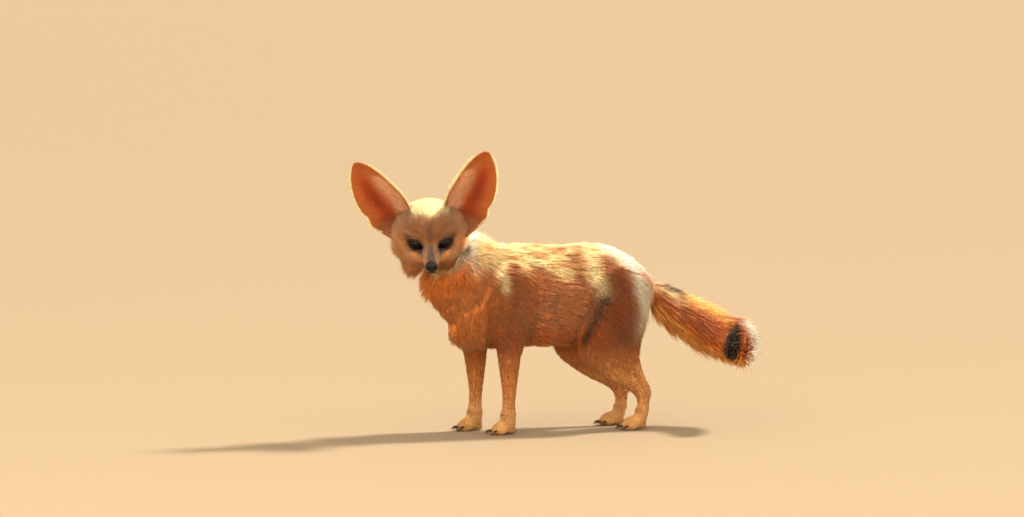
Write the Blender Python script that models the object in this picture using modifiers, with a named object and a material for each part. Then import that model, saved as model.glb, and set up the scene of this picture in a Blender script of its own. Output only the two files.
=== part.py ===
"""A fennec fox, life size, standing still with its head turned to its left.

Units are metres, +Z is up and the floor is z = 0. The body lies along X: the chest points
to -X, the tail to +X, and the animal's left side is -Y. The flesh is modelled whole and soft,
and is then parted into its named pieces by thin cuts. At the end everything is moved so that
the middle of the fox stands over the origin.
"""

import math
import random

import bmesh
import bpy
from mathutils import Matrix, Vector
from mathutils.bvhtree import BVHTree

# Driving sizes of the body
GAP = 0.0003
LOCK_GAP = 0.0005
BACK_TOP = 0.209
BREASTBONE = 0.095
CHEST_X = -0.134
RUMP_X = 0.110
TRUNK_HALF_WIDTH = 0.044
FORE_STANCE = 0.026
HIND_STANCE = 0.030
LEFT_FORE_X = -0.070
RIGHT_FORE_X = -0.091
LEFT_HIND_SHIFT = 0.000
RIGHT_HIND_SHIFT = -0.006
PAW_PARTING = 0.026
TOES = ((-0.0080, 0.0105), (-0.0030, 0.0150), (0.0030, 0.0150), (0.0080, 0.0105))

# The head: its own frame has +X to the nose, +Y to the animal's left, origin between the eyes
EYE_MIDDLE = Vector((-0.168, -0.040, 0.2160))
HEAD_YAW = math.radians(-108.0)
HEAD_PITCH = math.radians(17.0)
HEAD_ROLL = math.radians(2.5)
EYE_RADIUS = 0.0086
EYE_BACK = -0.0072
EYE_ASIDE = 0.0150
EYE_OUTWARD = math.radians(20.0)
EYE_OPENING = (0.0075, 0.0055)
EYE_SLANT = math.radians(25.0)
LID_THICKNESS = 0.0016
LID_EDGE = 0.0011
NOSE_PLACE = Vector((0.0365, 0.0, -0.0105))
NOSE_RADII = (0.0042, 0.0062, 0.0050)

# Where the neck meets the head, a ball-shaped parting, and the shoulders, a flat one
HEAD_PARTING = (Vector((-0.095, 0.010, 0.150)), 0.066)
NECK_PARTING = (Vector((-0.118, 0.0, 0.172)), Vector((-0.62, 0.0, 0.785)))

# The ears
EAR_BASE = Vector((-0.022, 0.0325, 0.018))
EAR_WALL = 0.0024
EAR_LEAN_BACK = math.radians(9.0)
LEFT_EAR = {"side": 1, "splay": math.radians(19.5), "twist": math.radians(2.0)}
RIGHT_EAR = {"side": -1, "splay": math.radians(29.0), "twist": math.radians(8.0)}

# The tail: its middle line, and the reach of the brush of fur around it
TAIL_ROUTE = (
    (0.080, 0.000, 0.167, 0.0150),
    (0.104, 0.000, 0.154, 0.0195),
    (0.129, 0.002, 0.137, 0.0245),
    (0.154, 0.002, 0.121, 0.0285),
    (0.175, -0.004, 0.109, 0.0300),
    (0.191, -0.020, 0.100, 0.0295),
    (0.196, -0.043, 0.095, 0.0260),
    (0.191, -0.067, 0.091, 0.0195),
    (0.185, -0.088, 0.089, 0.0090),
)
TAIL_TIP = Vector((0.182, -0.098, 0.088))
TAIL_PARTING = 0.130
CORE_SHARE = 0.52

# Locks: how many, and their length, half width and half thickness
TAIL_LOCKS = {"rows": 7, "around": 7, "length": 0.050, "width": 0.0095, "depth": 0.0013}
LOCK_TILT = math.radians(17)
RUFF_LOCKS = {"count": 6, "length": 0.024, "width": 0.0068, "depth": 0.0011}
FRINGE_LOCKS = {"count": 8, "length": 0.016, "width": 0.0021, "depth": 0.0006}
CLAW = (0.0062, 0.0011)

FLESH_VOXEL = 0.0026
HEAD_VOXEL = 0.0015
PAW_VOXEL = 0.0013
FLESH_TRIANGLES = 2700
SKULL_TRIANGLES = 6000
HEAD_TRIANGLES = 1300
PAW_TRIANGLES = 240
TAIL_TRIANGLES = 420

SAND = (0.72, 0.46, 0.22)
CREAM = (0.90, 0.76, 0.50)
RUST = (0.55, 0.22, 0.06)
BLACK = (0.02, 0.015, 0.012)
FUR_ROUGHNESS = 0.9
WET_ROUGHNESS = 0.25


def clear_scene():
    for obj in list(bpy.data.objects):
        bpy.data.objects.remove(obj, do_unlink=True)


def collection(name):
    group = bpy.data.collections.new(name)
    bpy.context.scene.collection.children.link(group)
    return group


def put(name, mesh, group):
    obj = bpy.data.objects.new(name, mesh)
    group.objects.link(obj)
    return obj


def paint(obj, colour, roughness):
    """Gives a piece its own material."""
    material = bpy.data.materials.new(obj.name + "_finish")
    material.use_nodes = True
    shader = material.node_tree.nodes["Principled BSDF"]
    shader.inputs["Base Color"].default_value = (*colour, 1.0)
    shader.inputs["Roughness"].default_value = roughness
    shader.inputs["Metallic"].default_value = 0.0
    obj.data.materials.clear()
    obj.data.materials.append(material)


def smooth_rows(rows, steps):
    """Rows of numbers read from a smooth curve through the given rows, some steps to a span."""
    first = [2 * a - b for a, b in zip(rows[0], rows[1])]
    last = [2 * a - b for a, b in zip(rows[-1], rows[-2])]
    ends = [first, *rows, last]
    out = []
    for before, here, after, later in zip(ends, ends[1:], ends[2:], ends[3:]):
        for k in range(steps):
            t = k / steps
            out.append([
                0.5 * (2 * b + (c - a) * t + (2 * a - 5 * b + 4 * c - d) * t**2
                       + (3 * b - a - 3 * c + d) * t**3)
                for a, b, c, d in zip(before, here, after, later)
            ])
    out.append(list(rows[-1]))
    return out


def ring(centre, side, up, half_width, rise, drop, count):
    """Points of one egg-shaped section, with its own height above and below its widest line."""
    points = []
    for k in range(count):
        turn = 2 * math.pi * k / count
        lift = rise if math.sin(turn) >= 0 else drop
        points.append(centre + side * (half_width * math.cos(turn)) + up * (lift * math.sin(turn)))
    return points


def loft(name, rings, first, last, group):
    """A closed body over rows of rings, with one point closing each end."""
    mesh = bmesh.new()
    rows = [[mesh.verts.new(p) for p in row] for row in rings]
    ends = [mesh.verts.new(first), mesh.verts.new(last)]
    count = len(rows[0])
    for a, b in zip(rows, rows[1:]):
        for k in range(count):
            mesh.faces.new((a[k], a[(k + 1) % count], b[(k + 1) % count], b[k]))
    for k in range(count):
        mesh.faces.new((rows[0][(k + 1) % count], rows[0][k], ends[0]))
        mesh.faces.new((rows[-1][k], rows[-1][(k + 1) % count], ends[1]))
    bmesh.ops.recalc_face_normals(mesh, faces=mesh.faces)
    data = bpy.data.meshes.new(name)
    mesh.to_mesh(data)
    mesh.free()
    return put(name, data, group)


def ball(name, centre, radii, group, turn=Matrix.Identity(3), segments=24, rings=16):
    """A sphere drawn out to three radii, turned and set in place."""
    mesh = bmesh.new()
    bmesh.ops.create_uvsphere(mesh, u_segments=segments, v_segments=rings, radius=1.0)
    place = Matrix.Translation(centre) @ turn.to_4x4() @ Matrix.Diagonal((*radii, 1.0))
    bmesh.ops.transform(mesh, matrix=place, verts=mesh.verts)
    data = bpy.data.meshes.new(name)
    mesh.to_mesh(data)
    mesh.free()
    return put(name, data, group)


def block(name, centre, half, group, turn=Matrix.Identity(3)):
    """A box given by its middle and its half sizes."""
    mesh = bmesh.new()
    bmesh.ops.create_cube(mesh, size=2.0)
    place = Matrix.Translation(centre) @ turn.to_4x4() @ Matrix.Diagonal((*half, 1.0))
    bmesh.ops.transform(mesh, matrix=place, verts=mesh.verts)
    data = bpy.data.meshes.new(name)
    mesh.to_mesh(data)
    mesh.free()
    return put(name, data, group)


def settle(obj):
    """Applies an object's modifiers to its mesh."""
    bpy.context.view_layer.update()
    graph = bpy.context.evaluated_depsgraph_get()
    data = bpy.data.meshes.new_from_object(obj.evaluated_get(graph))
    obj.modifiers.clear()
    obj.data = data
    return obj


def copy_of(obj, name):
    return put(name, obj.data.copy(), obj.users_collection[0])


def join(name, parts, group):
    """One object holding the meshes of several, which are removed."""
    mesh = bmesh.new()
    for part in parts:
        mesh.from_mesh(part.data)
        bpy.data.objects.remove(part, do_unlink=True)
    data = bpy.data.meshes.new(name)
    mesh.to_mesh(data)
    mesh.free()
    return put(name, data, group)


def outward(obj):
    """Turns the faces of a closed object outwards."""
    mesh = bmesh.new()
    mesh.from_mesh(obj.data)
    bmesh.ops.recalc_face_normals(mesh, faces=mesh.faces)
    mesh.to_mesh(obj.data)
    mesh.free()
    return obj


def keep_largest(obj):
    """Keeps only the largest closed surface of an object."""
    mesh = bmesh.new()
    mesh.from_mesh(obj.data)
    left, bodies = set(mesh.verts), []
    while left:
        front = [left.pop()]
        body = set(front)
        while front:
            vert = front.pop()
            for link in vert.link_edges:
                other = link.other_vert(vert)
                if other in left:
                    left.discard(other)
                    body.add(other)
                    front.append(other)
        bodies.append(body)
    keep = max(bodies, key=len)
    bmesh.ops.delete(mesh, geom=[v for v in mesh.verts if v not in keep], context="VERTS")
    mesh.to_mesh(obj.data)
    mesh.free()
    return obj


def combine(obj, operation, other, solver="EXACT"):
    """Cuts, crosses or fuses an object with another, which is removed."""
    step = obj.modifiers.new("Combine", "BOOLEAN")
    step.operation = operation
    step.solver = solver
    step.object = other
    settle(obj)
    bpy.data.objects.remove(other, do_unlink=True)
    return keep_largest(obj)


def fuse(obj, pieces):
    """Fuses closed pieces into an object by one Boolean, and removes them."""
    pieces_group = collection("Pieces")
    for piece in pieces:
        for owner in list(piece.users_collection):
            owner.objects.unlink(piece)
        pieces_group.objects.link(piece)
    step = obj.modifiers.new("Fuse", "BOOLEAN")
    step.operation = "UNION"
    step.operand_type = "COLLECTION"
    step.solver = "MANIFOLD"
    step.collection = pieces_group
    settle(obj)
    for piece in list(pieces_group.objects):
        bpy.data.objects.remove(piece, do_unlink=True)
    bpy.data.collections.remove(pieces_group)
    return keep_largest(obj)


def surface_of(obj):
    """A tree of an object's faces, to find where a line meets them."""
    faces = [face.vertices for face in obj.data.polygons]
    return BVHTree.FromPolygons([vert.co for vert in obj.data.vertices], faces)


def grown(obj, name, by):
    """A copy of a closed object, swollen by a small distance along its normals."""
    copy = copy_of(obj, name)
    swell = copy.modifiers.new("Swell", "DISPLACE")
    swell.strength = by
    swell.mid_level = 0.0
    return settle(copy)


def melt(obj, voxel, passes, triangles):
    """Melts overlapping forms into one soft body of about the given number of triangles."""
    remesh = obj.modifiers.new("Remesh", "REMESH")
    remesh.mode = "VOXEL"
    remesh.voxel_size = voxel
    soften = obj.modifiers.new("Soften", "SMOOTH")
    soften.factor = 0.5
    soften.iterations = passes
    settle(obj)
    obj.data.calc_loop_triangles()
    thin = obj.modifiers.new("Thin", "DECIMATE")
    thin.ratio = min(1.0, triangles / len(obj.data.loop_triangles))
    thin.use_collapse_triangulate = True
    return keep_largest(settle(obj))


def lock(path, looks, width, depth, group):
    """A flat, tapered lock of coat: its line from root to tip, and the way its face looks."""
    rings = []
    spans = len(path) - 1
    for i in range(1, spans):
        share = i / spans
        line = (path[i + 1] - path[i - 1]).normalized()
        across = line.cross(looks[i]).normalized()
        up = across.cross(line)
        half = width * math.sin(math.pi * (0.10 + 0.78 * share)) ** 0.8
        rise = depth * (1.0 - 0.6 * share)
        across, up = across * half, up * rise
        rings.append([path[i] + across, path[i] + up, path[i] - across, path[i] - up])
    return loft("lock", rings, path[0], path[-1], group)


def trunk(group):
    """Chest, back, belly and rump: place along X, bottom, top, half width and widest line."""
    back, low, wide = BACK_TOP, BREASTBONE, TRUNK_HALF_WIDTH
    stations = (
        (CHEST_X + 0.004, 0.108, 0.160, 0.40 * wide, 0.136),
        (CHEST_X + 0.014, 0.099, 0.182, 0.68 * wide, 0.137),
        (CHEST_X + 0.034, low, 0.205, 0.87 * wide, 0.142),
        (CHEST_X + 0.062, low - 0.001, back + 0.003, 0.96 * wide, 0.144),
        (CHEST_X + 0.098, low - 0.001, back + 0.002, 1.00 * wide, 0.146),
        (CHEST_X + 0.130, low - 0.001, back, 0.98 * wide, 0.150),
        (CHEST_X + 0.158, low + 0.002, back + 0.001, 0.94 * wide, 0.153),
        (CHEST_X + 0.184, low + 0.009, back - 0.001, 0.93 * wide, 0.156),
        (CHEST_X + 0.209, low + 0.018, back - 0.011, 0.88 * wide, 0.156),
        (RUMP_X - 0.014, low + 0.030, back - 0.027, 0.72 * wide, 0.154),
        (RUMP_X - 0.004, low + 0.045, back - 0.041, 0.40 * wide, 0.154),
    )
    side, up = Vector((0, 1, 0)), Vector((0, 0, 1))
    rings = [
        ring(Vector((x, 0, mid)), side, up, half, top - mid, mid - bottom, 28)
        for x, bottom, top, half, mid in smooth_rows(stations, 3)
    ]
    return loft("trunk", rings, (CHEST_X, 0, 0.138), (RUMP_X, 0, 0.154), group)


def neck(group):
    """Neck and throat, as sections across their own line: centre, half width, half depth."""
    stations = (
        (-0.084, 0.000, 0.155, 0.036, 0.050),
        (-0.106, 0.000, 0.170, 0.036, 0.050),
        (-0.123, 0.000, 0.186, 0.035, 0.044),
        (-0.136, 0.000, 0.202, 0.033, 0.038),
        (-0.146, -0.002, 0.216, 0.030, 0.032),
        (-0.152, -0.005, 0.227, 0.024, 0.025),
    )
    rows = smooth_rows(stations, 3)
    rings = []
    for i, row in enumerate(rows):
        ahead = Vector(rows[min(i + 1, len(rows) - 1)][:3])
        behind = Vector(rows[max(i - 1, 0)][:3])
        line = (ahead - behind).normalized()
        up = Vector((0, 1, 0)).cross(line).normalized()
        rings.append(ring(Vector(row[:3]), line.cross(up), up, row[3], row[4], row[4], 24))
    first = Vector(rows[0][:3]) + Vector((0.010, 0, -0.008))
    last = Vector(rows[-1][:3]) + Vector((-0.003, 0, 0.006))
    return loft("neck_form", rings, first, last, group)


def leg_form(name, stations, centre_y, group):
    """A leg as level sections: height, front x, rear x, half thickness and outward shift."""
    side, up = Vector((1, 0, 0)), Vector((0, 1, 0))
    rows = smooth_rows(stations, 3)
    rings = [
        ring(Vector(((front + rear) / 2, centre_y + shift, z)), side, up, (rear - front) / 2, half, half, 20)
        for z, front, rear, half, shift in rows
    ]
    top, low = rows[0], rows[-1]
    first = ((top[1] + top[2]) / 2, centre_y + top[4], top[0] + 0.006)
    last = ((low[1] + low[2]) / 2, centre_y + low[4], low[0] - 0.002)
    return loft(name, rings, first, last, group)


def foreleg_form(x, side, group):
    """Shoulder, upper arm, forearm and wrist. side is -1 on the animal's left."""
    rows = (
        (0.158, -0.030, 0.020, 0.013, 0.003),
        (0.142, -0.033, 0.023, 0.016, 0.005),
        (0.124, -0.029, 0.022, 0.017, 0.005),
        (0.106, -0.021, 0.019, 0.0160, 0.003),
        (0.088, -0.0155, 0.0150, 0.0136, 0.001),
        (0.066, -0.0125, 0.0125, 0.0116, 0.000),
        (0.045, -0.0100, 0.0100, 0.0098, 0.000),
        (0.028, -0.0105, 0.0090, 0.0096, 0.000),
        (0.010, -0.0120, 0.0080, 0.0098, 0.000),
    )
    stations = [(z, x + a, x + b, half, side * out) for z, a, b, half, out in rows]
    return leg_form("foreleg_form", stations, side * FORE_STANCE, group)


def hindleg_form(shift, side, group):
    """Thigh, knee, shank, hock and the long foot down to the toes."""
    rows = (
        (0.160, 0.036, 0.092, 0.015, -0.004),
        (0.144, 0.024, 0.096, 0.0185, -0.002),
        (0.125, 0.013, 0.094, 0.0200, 0.001),
        (0.106, 0.008, 0.088, 0.0185, 0.002),
        (0.090, 0.008, 0.086, 0.0162, 0.001),
        (0.078, 0.015, 0.087, 0.0145, 0.000),
        (0.066, 0.029, 0.091, 0.0126, -0.001),
        (0.056, 0.044, 0.0965, 0.0110, -0.002),
        (0.047, 0.062, 0.1015, 0.0099, -0.003),
        (0.039, 0.076, 0.1020, 0.0092, -0.003),
        (0.030, 0.0805, 0.0990, 0.0088, -0.003),
        (0.018, 0.0795, 0.0960, 0.0088, -0.003),
        (0.009, 0.0780, 0.0935, 0.0090, -0.003),
    )
    stations = [(z, shift + a, shift + b, half, side * out) for z, a, b, half, out in rows]
    return leg_form("hindleg_form", stations, side * HIND_STANCE, group)


def head_frame():
    """From the head's own frame to the world."""
    turn = Matrix.Rotation(HEAD_YAW, 4, "Z") @ Matrix.Rotation(HEAD_PITCH, 4, "Y")
    return Matrix.Translation(EYE_MIDDLE) @ turn @ Matrix.Rotation(HEAD_ROLL, 4, "X")


def skull_forms(group):
    """The large soft forms of the head, in the head's frame."""
    paired = (
        ((-0.017, 0.0135, -0.0105), (0.0185, 0.0175, 0.0172)),
        ((-0.026, 0.0225, -0.0020), (0.0170, 0.0182, 0.0200)),
        ((-0.029, 0.0185, -0.0135), (0.0152, 0.0168, 0.0162)),
        ((-0.040, 0.0235, 0.0120), (0.0135, 0.0145, 0.0180)),
    )
    single = (
        ((-0.028, 0.0, 0.0135), (0.0318, 0.0333, 0.0298)),
        ((-0.014, 0.0, 0.0085), (0.0178, 0.0240, 0.0160)),
        ((-0.021, 0.0, -0.018), (0.0208, 0.0218, 0.0172)),
    )
    forms = [ball("skull_form", centre, radii, group) for centre, radii in single]
    for (x, y, z), radii in paired:
        forms += [ball("skull_form", (x, side * y, z), radii, group) for side in (-1, 1)]
    return forms


def muzzle(group):
    """The muzzle and jaw, in the head's frame: place, middle, half width, rise and drop."""
    stations = (
        (-0.010, -0.006, 0.0200, 0.0120, 0.0160),
        (0.003, -0.0070, 0.0165, 0.0105, 0.0145),
        (0.013, -0.0090, 0.0128, 0.0080, 0.0125),
        (0.023, -0.0110, 0.0095, 0.0062, 0.0110),
        (0.031, -0.0120, 0.0076, 0.0054, 0.0098),
        (0.0355, -0.0125, 0.0060, 0.0042, 0.0080),
    )
    side, up = Vector((0, 1, 0)), Vector((0, 0, 1))
    rings = [
        ring(Vector((x, 0, z)), side, up, half, rise, drop, 20)
        for x, z, half, rise, drop in smooth_rows(stations, 3)
    ]
    return loft("muzzle_form", rings, (-0.014, 0, -0.006), (0.0375, 0, -0.0128), group)


def into_head(parts):
    """Moves pieces from the head's frame to their place in the world."""
    for part in parts:
        part.data.transform(head_frame())
    return parts


def body_flesh(group):
    """Trunk, neck and legs melted into one soft body, with the head's forms to blend into."""
    parts = [trunk(group), neck(group)]
    for side, x, shift in ((-1, LEFT_FORE_X, LEFT_HIND_SHIFT), (1, RIGHT_FORE_X, RIGHT_HIND_SHIFT)):
        parts += [foreleg_form(x, side, group), hindleg_form(shift, side, group)]
        blade = Matrix.Rotation(math.radians(18), 3, "Y")
        place = (x - 0.006, side * 0.0285, 0.150)
        parts.append(ball("blade", place, (0.024, 0.0125, 0.036), group, blade))
        place = (shift + 0.062, side * 0.026, 0.150)
        parts.append(ball("haunch", place, (0.035, 0.016, 0.036), group, blade))
    parts += into_head(skull_forms(group))
    return melt(join("flesh", parts, group), FLESH_VOXEL, 14, FLESH_TRIANGLES)


def half_space(name, point, normal, group):
    """A large block that fills everything on the side of a plane that the normal points to."""
    reach = 0.3
    turn = normal.to_track_quat("Z", "Y").to_matrix()
    return block(name, point + normal.normalized() * reach, (reach, reach, reach), group, turn)


def leg_region(x, y, z, radii, half_length, low_y, grow, group):
    """The part of the body that goes with a leg: an egg at the shoulder or hip, and a shaft below."""
    egg = ball("region", (x, y, z), [r + grow for r in radii], group, segments=20, rings=14)
    outer = 0.075
    middle = math.copysign((low_y + outer) / 2, y)
    half = ((half_length + grow), (outer - low_y) / 2 + grow, (z + 0.02) / 2 + grow)
    shaft = block("shaft", (x, middle, (z - 0.02) / 2), half, group)
    return combine(egg, "UNION", shaft)


def part_body(flesh, group):
    """Parts the flesh into torso, neck and four legs."""
    point, normal = NECK_PARTING
    neck_node = copy_of(flesh, "neck")
    combine(neck_node, "DIFFERENCE", half_space("cut", point + normal * GAP / 2, -normal, group))
    centre, radius = HEAD_PARTING
    region = ball("cut", centre, [radius - GAP / 2] * 3, group, segments=24, rings=16)
    combine(neck_node, "INTERSECT", region)
    torso = copy_of(flesh, "torso")
    bpy.data.objects.remove(flesh, do_unlink=True)
    combine(torso, "DIFFERENCE", half_space("cut", point - normal * GAP / 2, normal, group))
    legs = []
    for name, side, x, shift in (
        ("left", -1, LEFT_FORE_X, LEFT_HIND_SHIFT),
        ("right", 1, RIGHT_FORE_X, RIGHT_HIND_SHIFT),
    ):
        fore = (x - 0.004, side * 0.046, 0.142, (0.034, 0.030, 0.046), 0.030, 0.004)
        hind = (shift + 0.060, side * 0.046, 0.136, (0.050, 0.030, 0.056), 0.058, 0.004)
        for kind, region in (("foreleg", fore), ("hindleg", hind)):
            leg = copy_of(torso, f"{kind}_{name}")
            combine(leg, "INTERSECT", leg_region(*region, 0.0, group))
            combine(torso, "DIFFERENCE", leg_region(*region, GAP, group))
            floor = half_space("cut", Vector((0, 0, PAW_PARTING + GAP / 2)), Vector((0, 0, -1)), group)
            combine(leg, "DIFFERENCE", floor)
            legs.append(leg)
    return torso, neck_node, legs


def claw(x, y, group):
    """One blunt claw, rooted in its toe and pointing ahead and a little down."""
    length, radius = CLAW
    root = Vector((x, y, 0.0046))
    side, up = Vector((0, 1, 0)), Vector((0, 0, 1))
    rings = []
    for share in (0.15, 0.5, 0.8):
        place = root + Vector((-length * share, 0, -0.0022 * share**2))
        size = radius * (1.05 - 0.8 * share)
        rings.append(ring(place, side, up, size, size, size, 5))
    return loft("claw", rings, root, root + Vector((-length, 0, -0.0022)), group)


def paw(name, shank, x, y, group):
    """A paw below its parting line: instep, four toes and a heel pad, flat underneath."""
    instep = ((x - 0.004, y, 0.0085), (0.0135, 0.0092, 0.0088))
    heel = ((x + 0.005, y, 0.0045), (0.0065, 0.0070, 0.0055))
    forms = [shank, ball("instep", *instep, group), ball("heel", *heel, group)]
    for across, ahead in TOES:
        centre = (x - ahead, y + across, 0.0040)
        forms.append(ball("toe", centre, (0.0076, 0.0037, 0.0055), group))
    obj = melt(join(name, forms, group), PAW_VOXEL, 3, PAW_TRIANGLES)
    combine(obj, "DIFFERENCE", half_space("cut", Vector((0, 0, 0)), Vector((0, 0, -1)), group))
    top = half_space("cut", Vector((0, 0, PAW_PARTING - GAP / 2)), Vector((0, 0, 1)), group)
    combine(obj, "DIFFERENCE", top)
    return fuse(obj, [claw(x - ahead - 0.0050, y + across, group) for across, ahead in TOES])


def paws(group):
    made = []
    for name, side, x, shift in (
        ("left", -1, LEFT_FORE_X, LEFT_HIND_SHIFT),
        ("right", 1, RIGHT_FORE_X, RIGHT_HIND_SHIFT),
    ):
        fore = foreleg_form(x, side, group)
        made.append(paw(f"forepaw_{name}", fore, x - 0.002, side * FORE_STANCE, group))
        hind = hindleg_form(shift, side, group)
        y = side * (HIND_STANCE - 0.003)
        made.append(paw(f"hindpaw_{name}", hind, shift + 0.0835, y, group))
    return made


def eye_place(side):
    return Vector((EYE_BACK, side * EYE_ASIDE, 0.0))


def eye_turn(side):
    """From an eye's own frame, with +X out of the pupil, to the head's frame."""
    return Matrix.Rotation(side * EYE_OUTWARD, 4, "Z") @ Matrix.Rotation(math.radians(-4), 4, "Y")


def almond(side, group):
    """A prism through the opening between the lids, along the eye's own line of sight."""
    wide, high = EYE_OPENING
    mesh = bmesh.new()
    count = 20
    rows = []
    for reach in (0.002, 0.020):
        row = []
        for k in range(count):
            turn = 2 * math.pi * k / count
            across = wide * math.cos(turn)
            lift = high * math.sin(turn) * (1 - 0.35 * math.cos(turn) ** 2)
            row.append(mesh.verts.new((reach, across, lift)))
        rows.append(row)
    for k in range(count):
        after = (k + 1) % count
        mesh.faces.new((rows[0][k], rows[0][after], rows[1][after], rows[1][k]))
    mesh.faces.new(rows[0])
    mesh.faces.new(rows[1])
    bmesh.ops.recalc_face_normals(mesh, faces=mesh.faces)
    data = bpy.data.meshes.new("almond")
    mesh.to_mesh(data)
    mesh.free()
    obj = put("almond", data, group)
    slant = Matrix.Rotation(side * EYE_SLANT, 4, "X")
    obj.data.transform(Matrix.Translation(eye_place(side)) @ eye_turn(side) @ slant)
    return obj


def lid_edges(side, group):
    """The thick edges of the two lids, a soft ring round the almond opening."""
    wide, high = EYE_OPENING
    reach = EYE_RADIUS + LID_EDGE
    points = []
    for k in range(17):
        turn = 2 * math.pi * k / 16
        across = (wide + LID_EDGE) * math.cos(turn)
        lift = (high + LID_EDGE) * math.sin(turn) * (1 - 0.35 * math.cos(turn) ** 2)
        points.append(Vector((math.sqrt(reach**2 - across**2 - lift**2), across, lift)))
    edges = tube("lid_edges", points, LID_EDGE, group)
    slant = Matrix.Rotation(side * EYE_SLANT, 4, "X")
    edges.data.transform(Matrix.Translation(eye_place(side)) @ eye_turn(side) @ slant)
    return edges


def head(group):
    """The head in its own frame, with sockets, lids, mouth and a seat for the nose."""
    skull = melt(join("skull", skull_forms(group), group), HEAD_VOXEL, 22, SKULL_TRIANGLES)
    stub = neck(group)
    stub.data.transform(head_frame().inverted())
    forms = [skull, muzzle(group), stub]
    for side in (-1, 1):
        lids = [EYE_RADIUS + LID_THICKNESS] * 3
        forms += [ball("lids", eye_place(side), lids, group), lid_edges(side, group)]
    obj = melt(join("head", forms, group), HEAD_VOXEL, 6, HEAD_TRIANGLES)
    for side in (-1, 1):
        combine(obj, "DIFFERENCE", almond(side, group))
        socket = ball("socket", eye_place(side), [EYE_RADIUS + GAP] * 3, group, segments=18, rings=12)
        combine(obj, "DIFFERENCE", socket)
    seat = ball("seat", NOSE_PLACE, [r + GAP for r in NOSE_RADII], group, segments=16, rings=10)
    combine(obj, "DIFFERENCE", seat)
    return obj


def mouth_line(obj, group):
    """The groove between the lips, laid on the muzzle by looking in from outside."""
    surface = surface_of(obj)
    points = []
    count = 18
    for k in range(count + 1):
        turn = math.radians(-128 + 256 * k / count)
        middle = Vector((0.016, 0, -0.0185 + 0.0035 * (1 - math.cos(turn)) / 1.6))
        outward = Vector((math.cos(turn), math.sin(turn) * 0.75, -0.10)).normalized()
        place = surface.ray_cast(middle + outward * 0.06, -outward)[0]
        points.append(place)
    return tube("mouth", points, 0.0007, group)


def tube(name, points, radius, group):
    """A round tube through points, as a closed mesh."""
    curve = bpy.data.curves.new(name, "CURVE")
    curve.dimensions = "3D"
    curve.bevel_depth = radius
    curve.bevel_resolution = 1
    curve.use_fill_caps = True
    line = curve.splines.new("POLY")
    line.points.add(len(points) - 1)
    for point, place in zip(line.points, points):
        point.co = (*place, 1.0)
    guide = put(name + "_line", curve, group)
    bpy.context.view_layer.update()
    graph = bpy.context.evaluated_depsgraph_get()
    data = bpy.data.meshes.new_from_object(guide.evaluated_get(graph))
    bpy.data.objects.remove(guide, do_unlink=True)
    mesh = bmesh.new()
    mesh.from_mesh(data)
    bmesh.ops.remove_doubles(mesh, verts=mesh.verts, dist=1e-6)
    bmesh.ops.recalc_face_normals(mesh, faces=mesh.faces)
    mesh.to_mesh(data)
    mesh.free()
    return put(name, data, group)


def nose(group):
    """The nose pad with its two nostrils, in the head's frame."""
    obj = ball("nose", NOSE_PLACE, NOSE_RADII, group, segments=16, rings=10)
    for side in (-1, 1):
        place = NOSE_PLACE + Vector((0.0030, side * 0.0027, -0.0004))
        slit = ball("nostril", place, (0.0020, 0.0011, 0.0014), group, segments=10, rings=6)
        combine(obj, "DIFFERENCE", slit)
    return obj


def eye(name, side, group):
    """An eyeball with its clear front bulging a little, in the head's frame."""
    obj = ball(name, (0, 0, 0), [EYE_RADIUS] * 3, group, segments=16, rings=10)
    bulge = ball("bulge", (0.0030, 0, 0), [0.0054] * 3, group, segments=12, rings=8)
    combine(obj, "UNION", bulge)
    obj.data.transform(Matrix.Translation(eye_place(side)) @ eye_turn(side))
    return obj


def ruff(skull, group):
    """The pointed hair of the cheeks, from under each ear to the throat, in the head's frame."""
    surface = surface_of(skull)
    draw = random.Random(3)
    count = RUFF_LOCKS["count"]
    locks = []
    for side in (-1, 1):
        for k in range(count):
            down = k / (count - 1)
            turn = math.radians(18 - 78 * down)
            out = Vector((-0.12, side * math.cos(turn), math.sin(turn))).normalized()
            middle = Vector((-0.026 - 0.006 * (k % 2), 0.0, -0.006))
            root, look = surface.ray_cast(middle + out * 0.08, -out)[:2]
            lie = Vector((-0.60, side * (0.45 - 0.30 * down), -0.62)).normalized()
            lie = (lie - look * lie.dot(look) * 0.85).normalized()
            long = RUFF_LOCKS["length"] * draw.uniform(0.85, 1.1)
            path, looks = [], []
            for i in range(5):
                share = i / 4
                path.append(root - look * 0.0030 + lie * (long * share) + look * (0.0056 * share**0.8))
                looks.append(look)
            locks.append(lock(path, looks, RUFF_LOCKS["width"], RUFF_LOCKS["depth"], group))
    return locks


def fringe(rows, group):
    """The long pale hair inside an ear's inner edge, in the ear's own frame."""
    draw = random.Random(5)
    count = FRINGE_LOCKS["count"]
    steps = len(rows)
    locks = []
    for k in range(count):
        row = rows[int(steps * (0.16 + 0.44 * k / (count - 1)))]
        across = -0.94 + 0.05 * (k % 2)
        root = ear_place(across, row)
        lie = Vector((0.10, draw.uniform(-0.05, 0.30), 1.0)).normalized()
        long = FRINGE_LOCKS["length"] * draw.uniform(0.85, 1.15) * (1.15 - 0.4 * k / count)
        path, looks = [], []
        for i in range(5):
            share = i / 4
            rise = 0.0004 + 0.0042 * math.sin(math.pi * min(share, 0.75) / 1.5)
            path.append(root + lie * (long * share) + Vector((rise, 0.0018 * share, 0)))
            looks.append(Vector((1.0, 0.35, 0.0)))
        locks.append(lock(path, looks, FRINGE_LOCKS["width"], FRINGE_LOCKS["depth"], group))
    return locks


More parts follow.
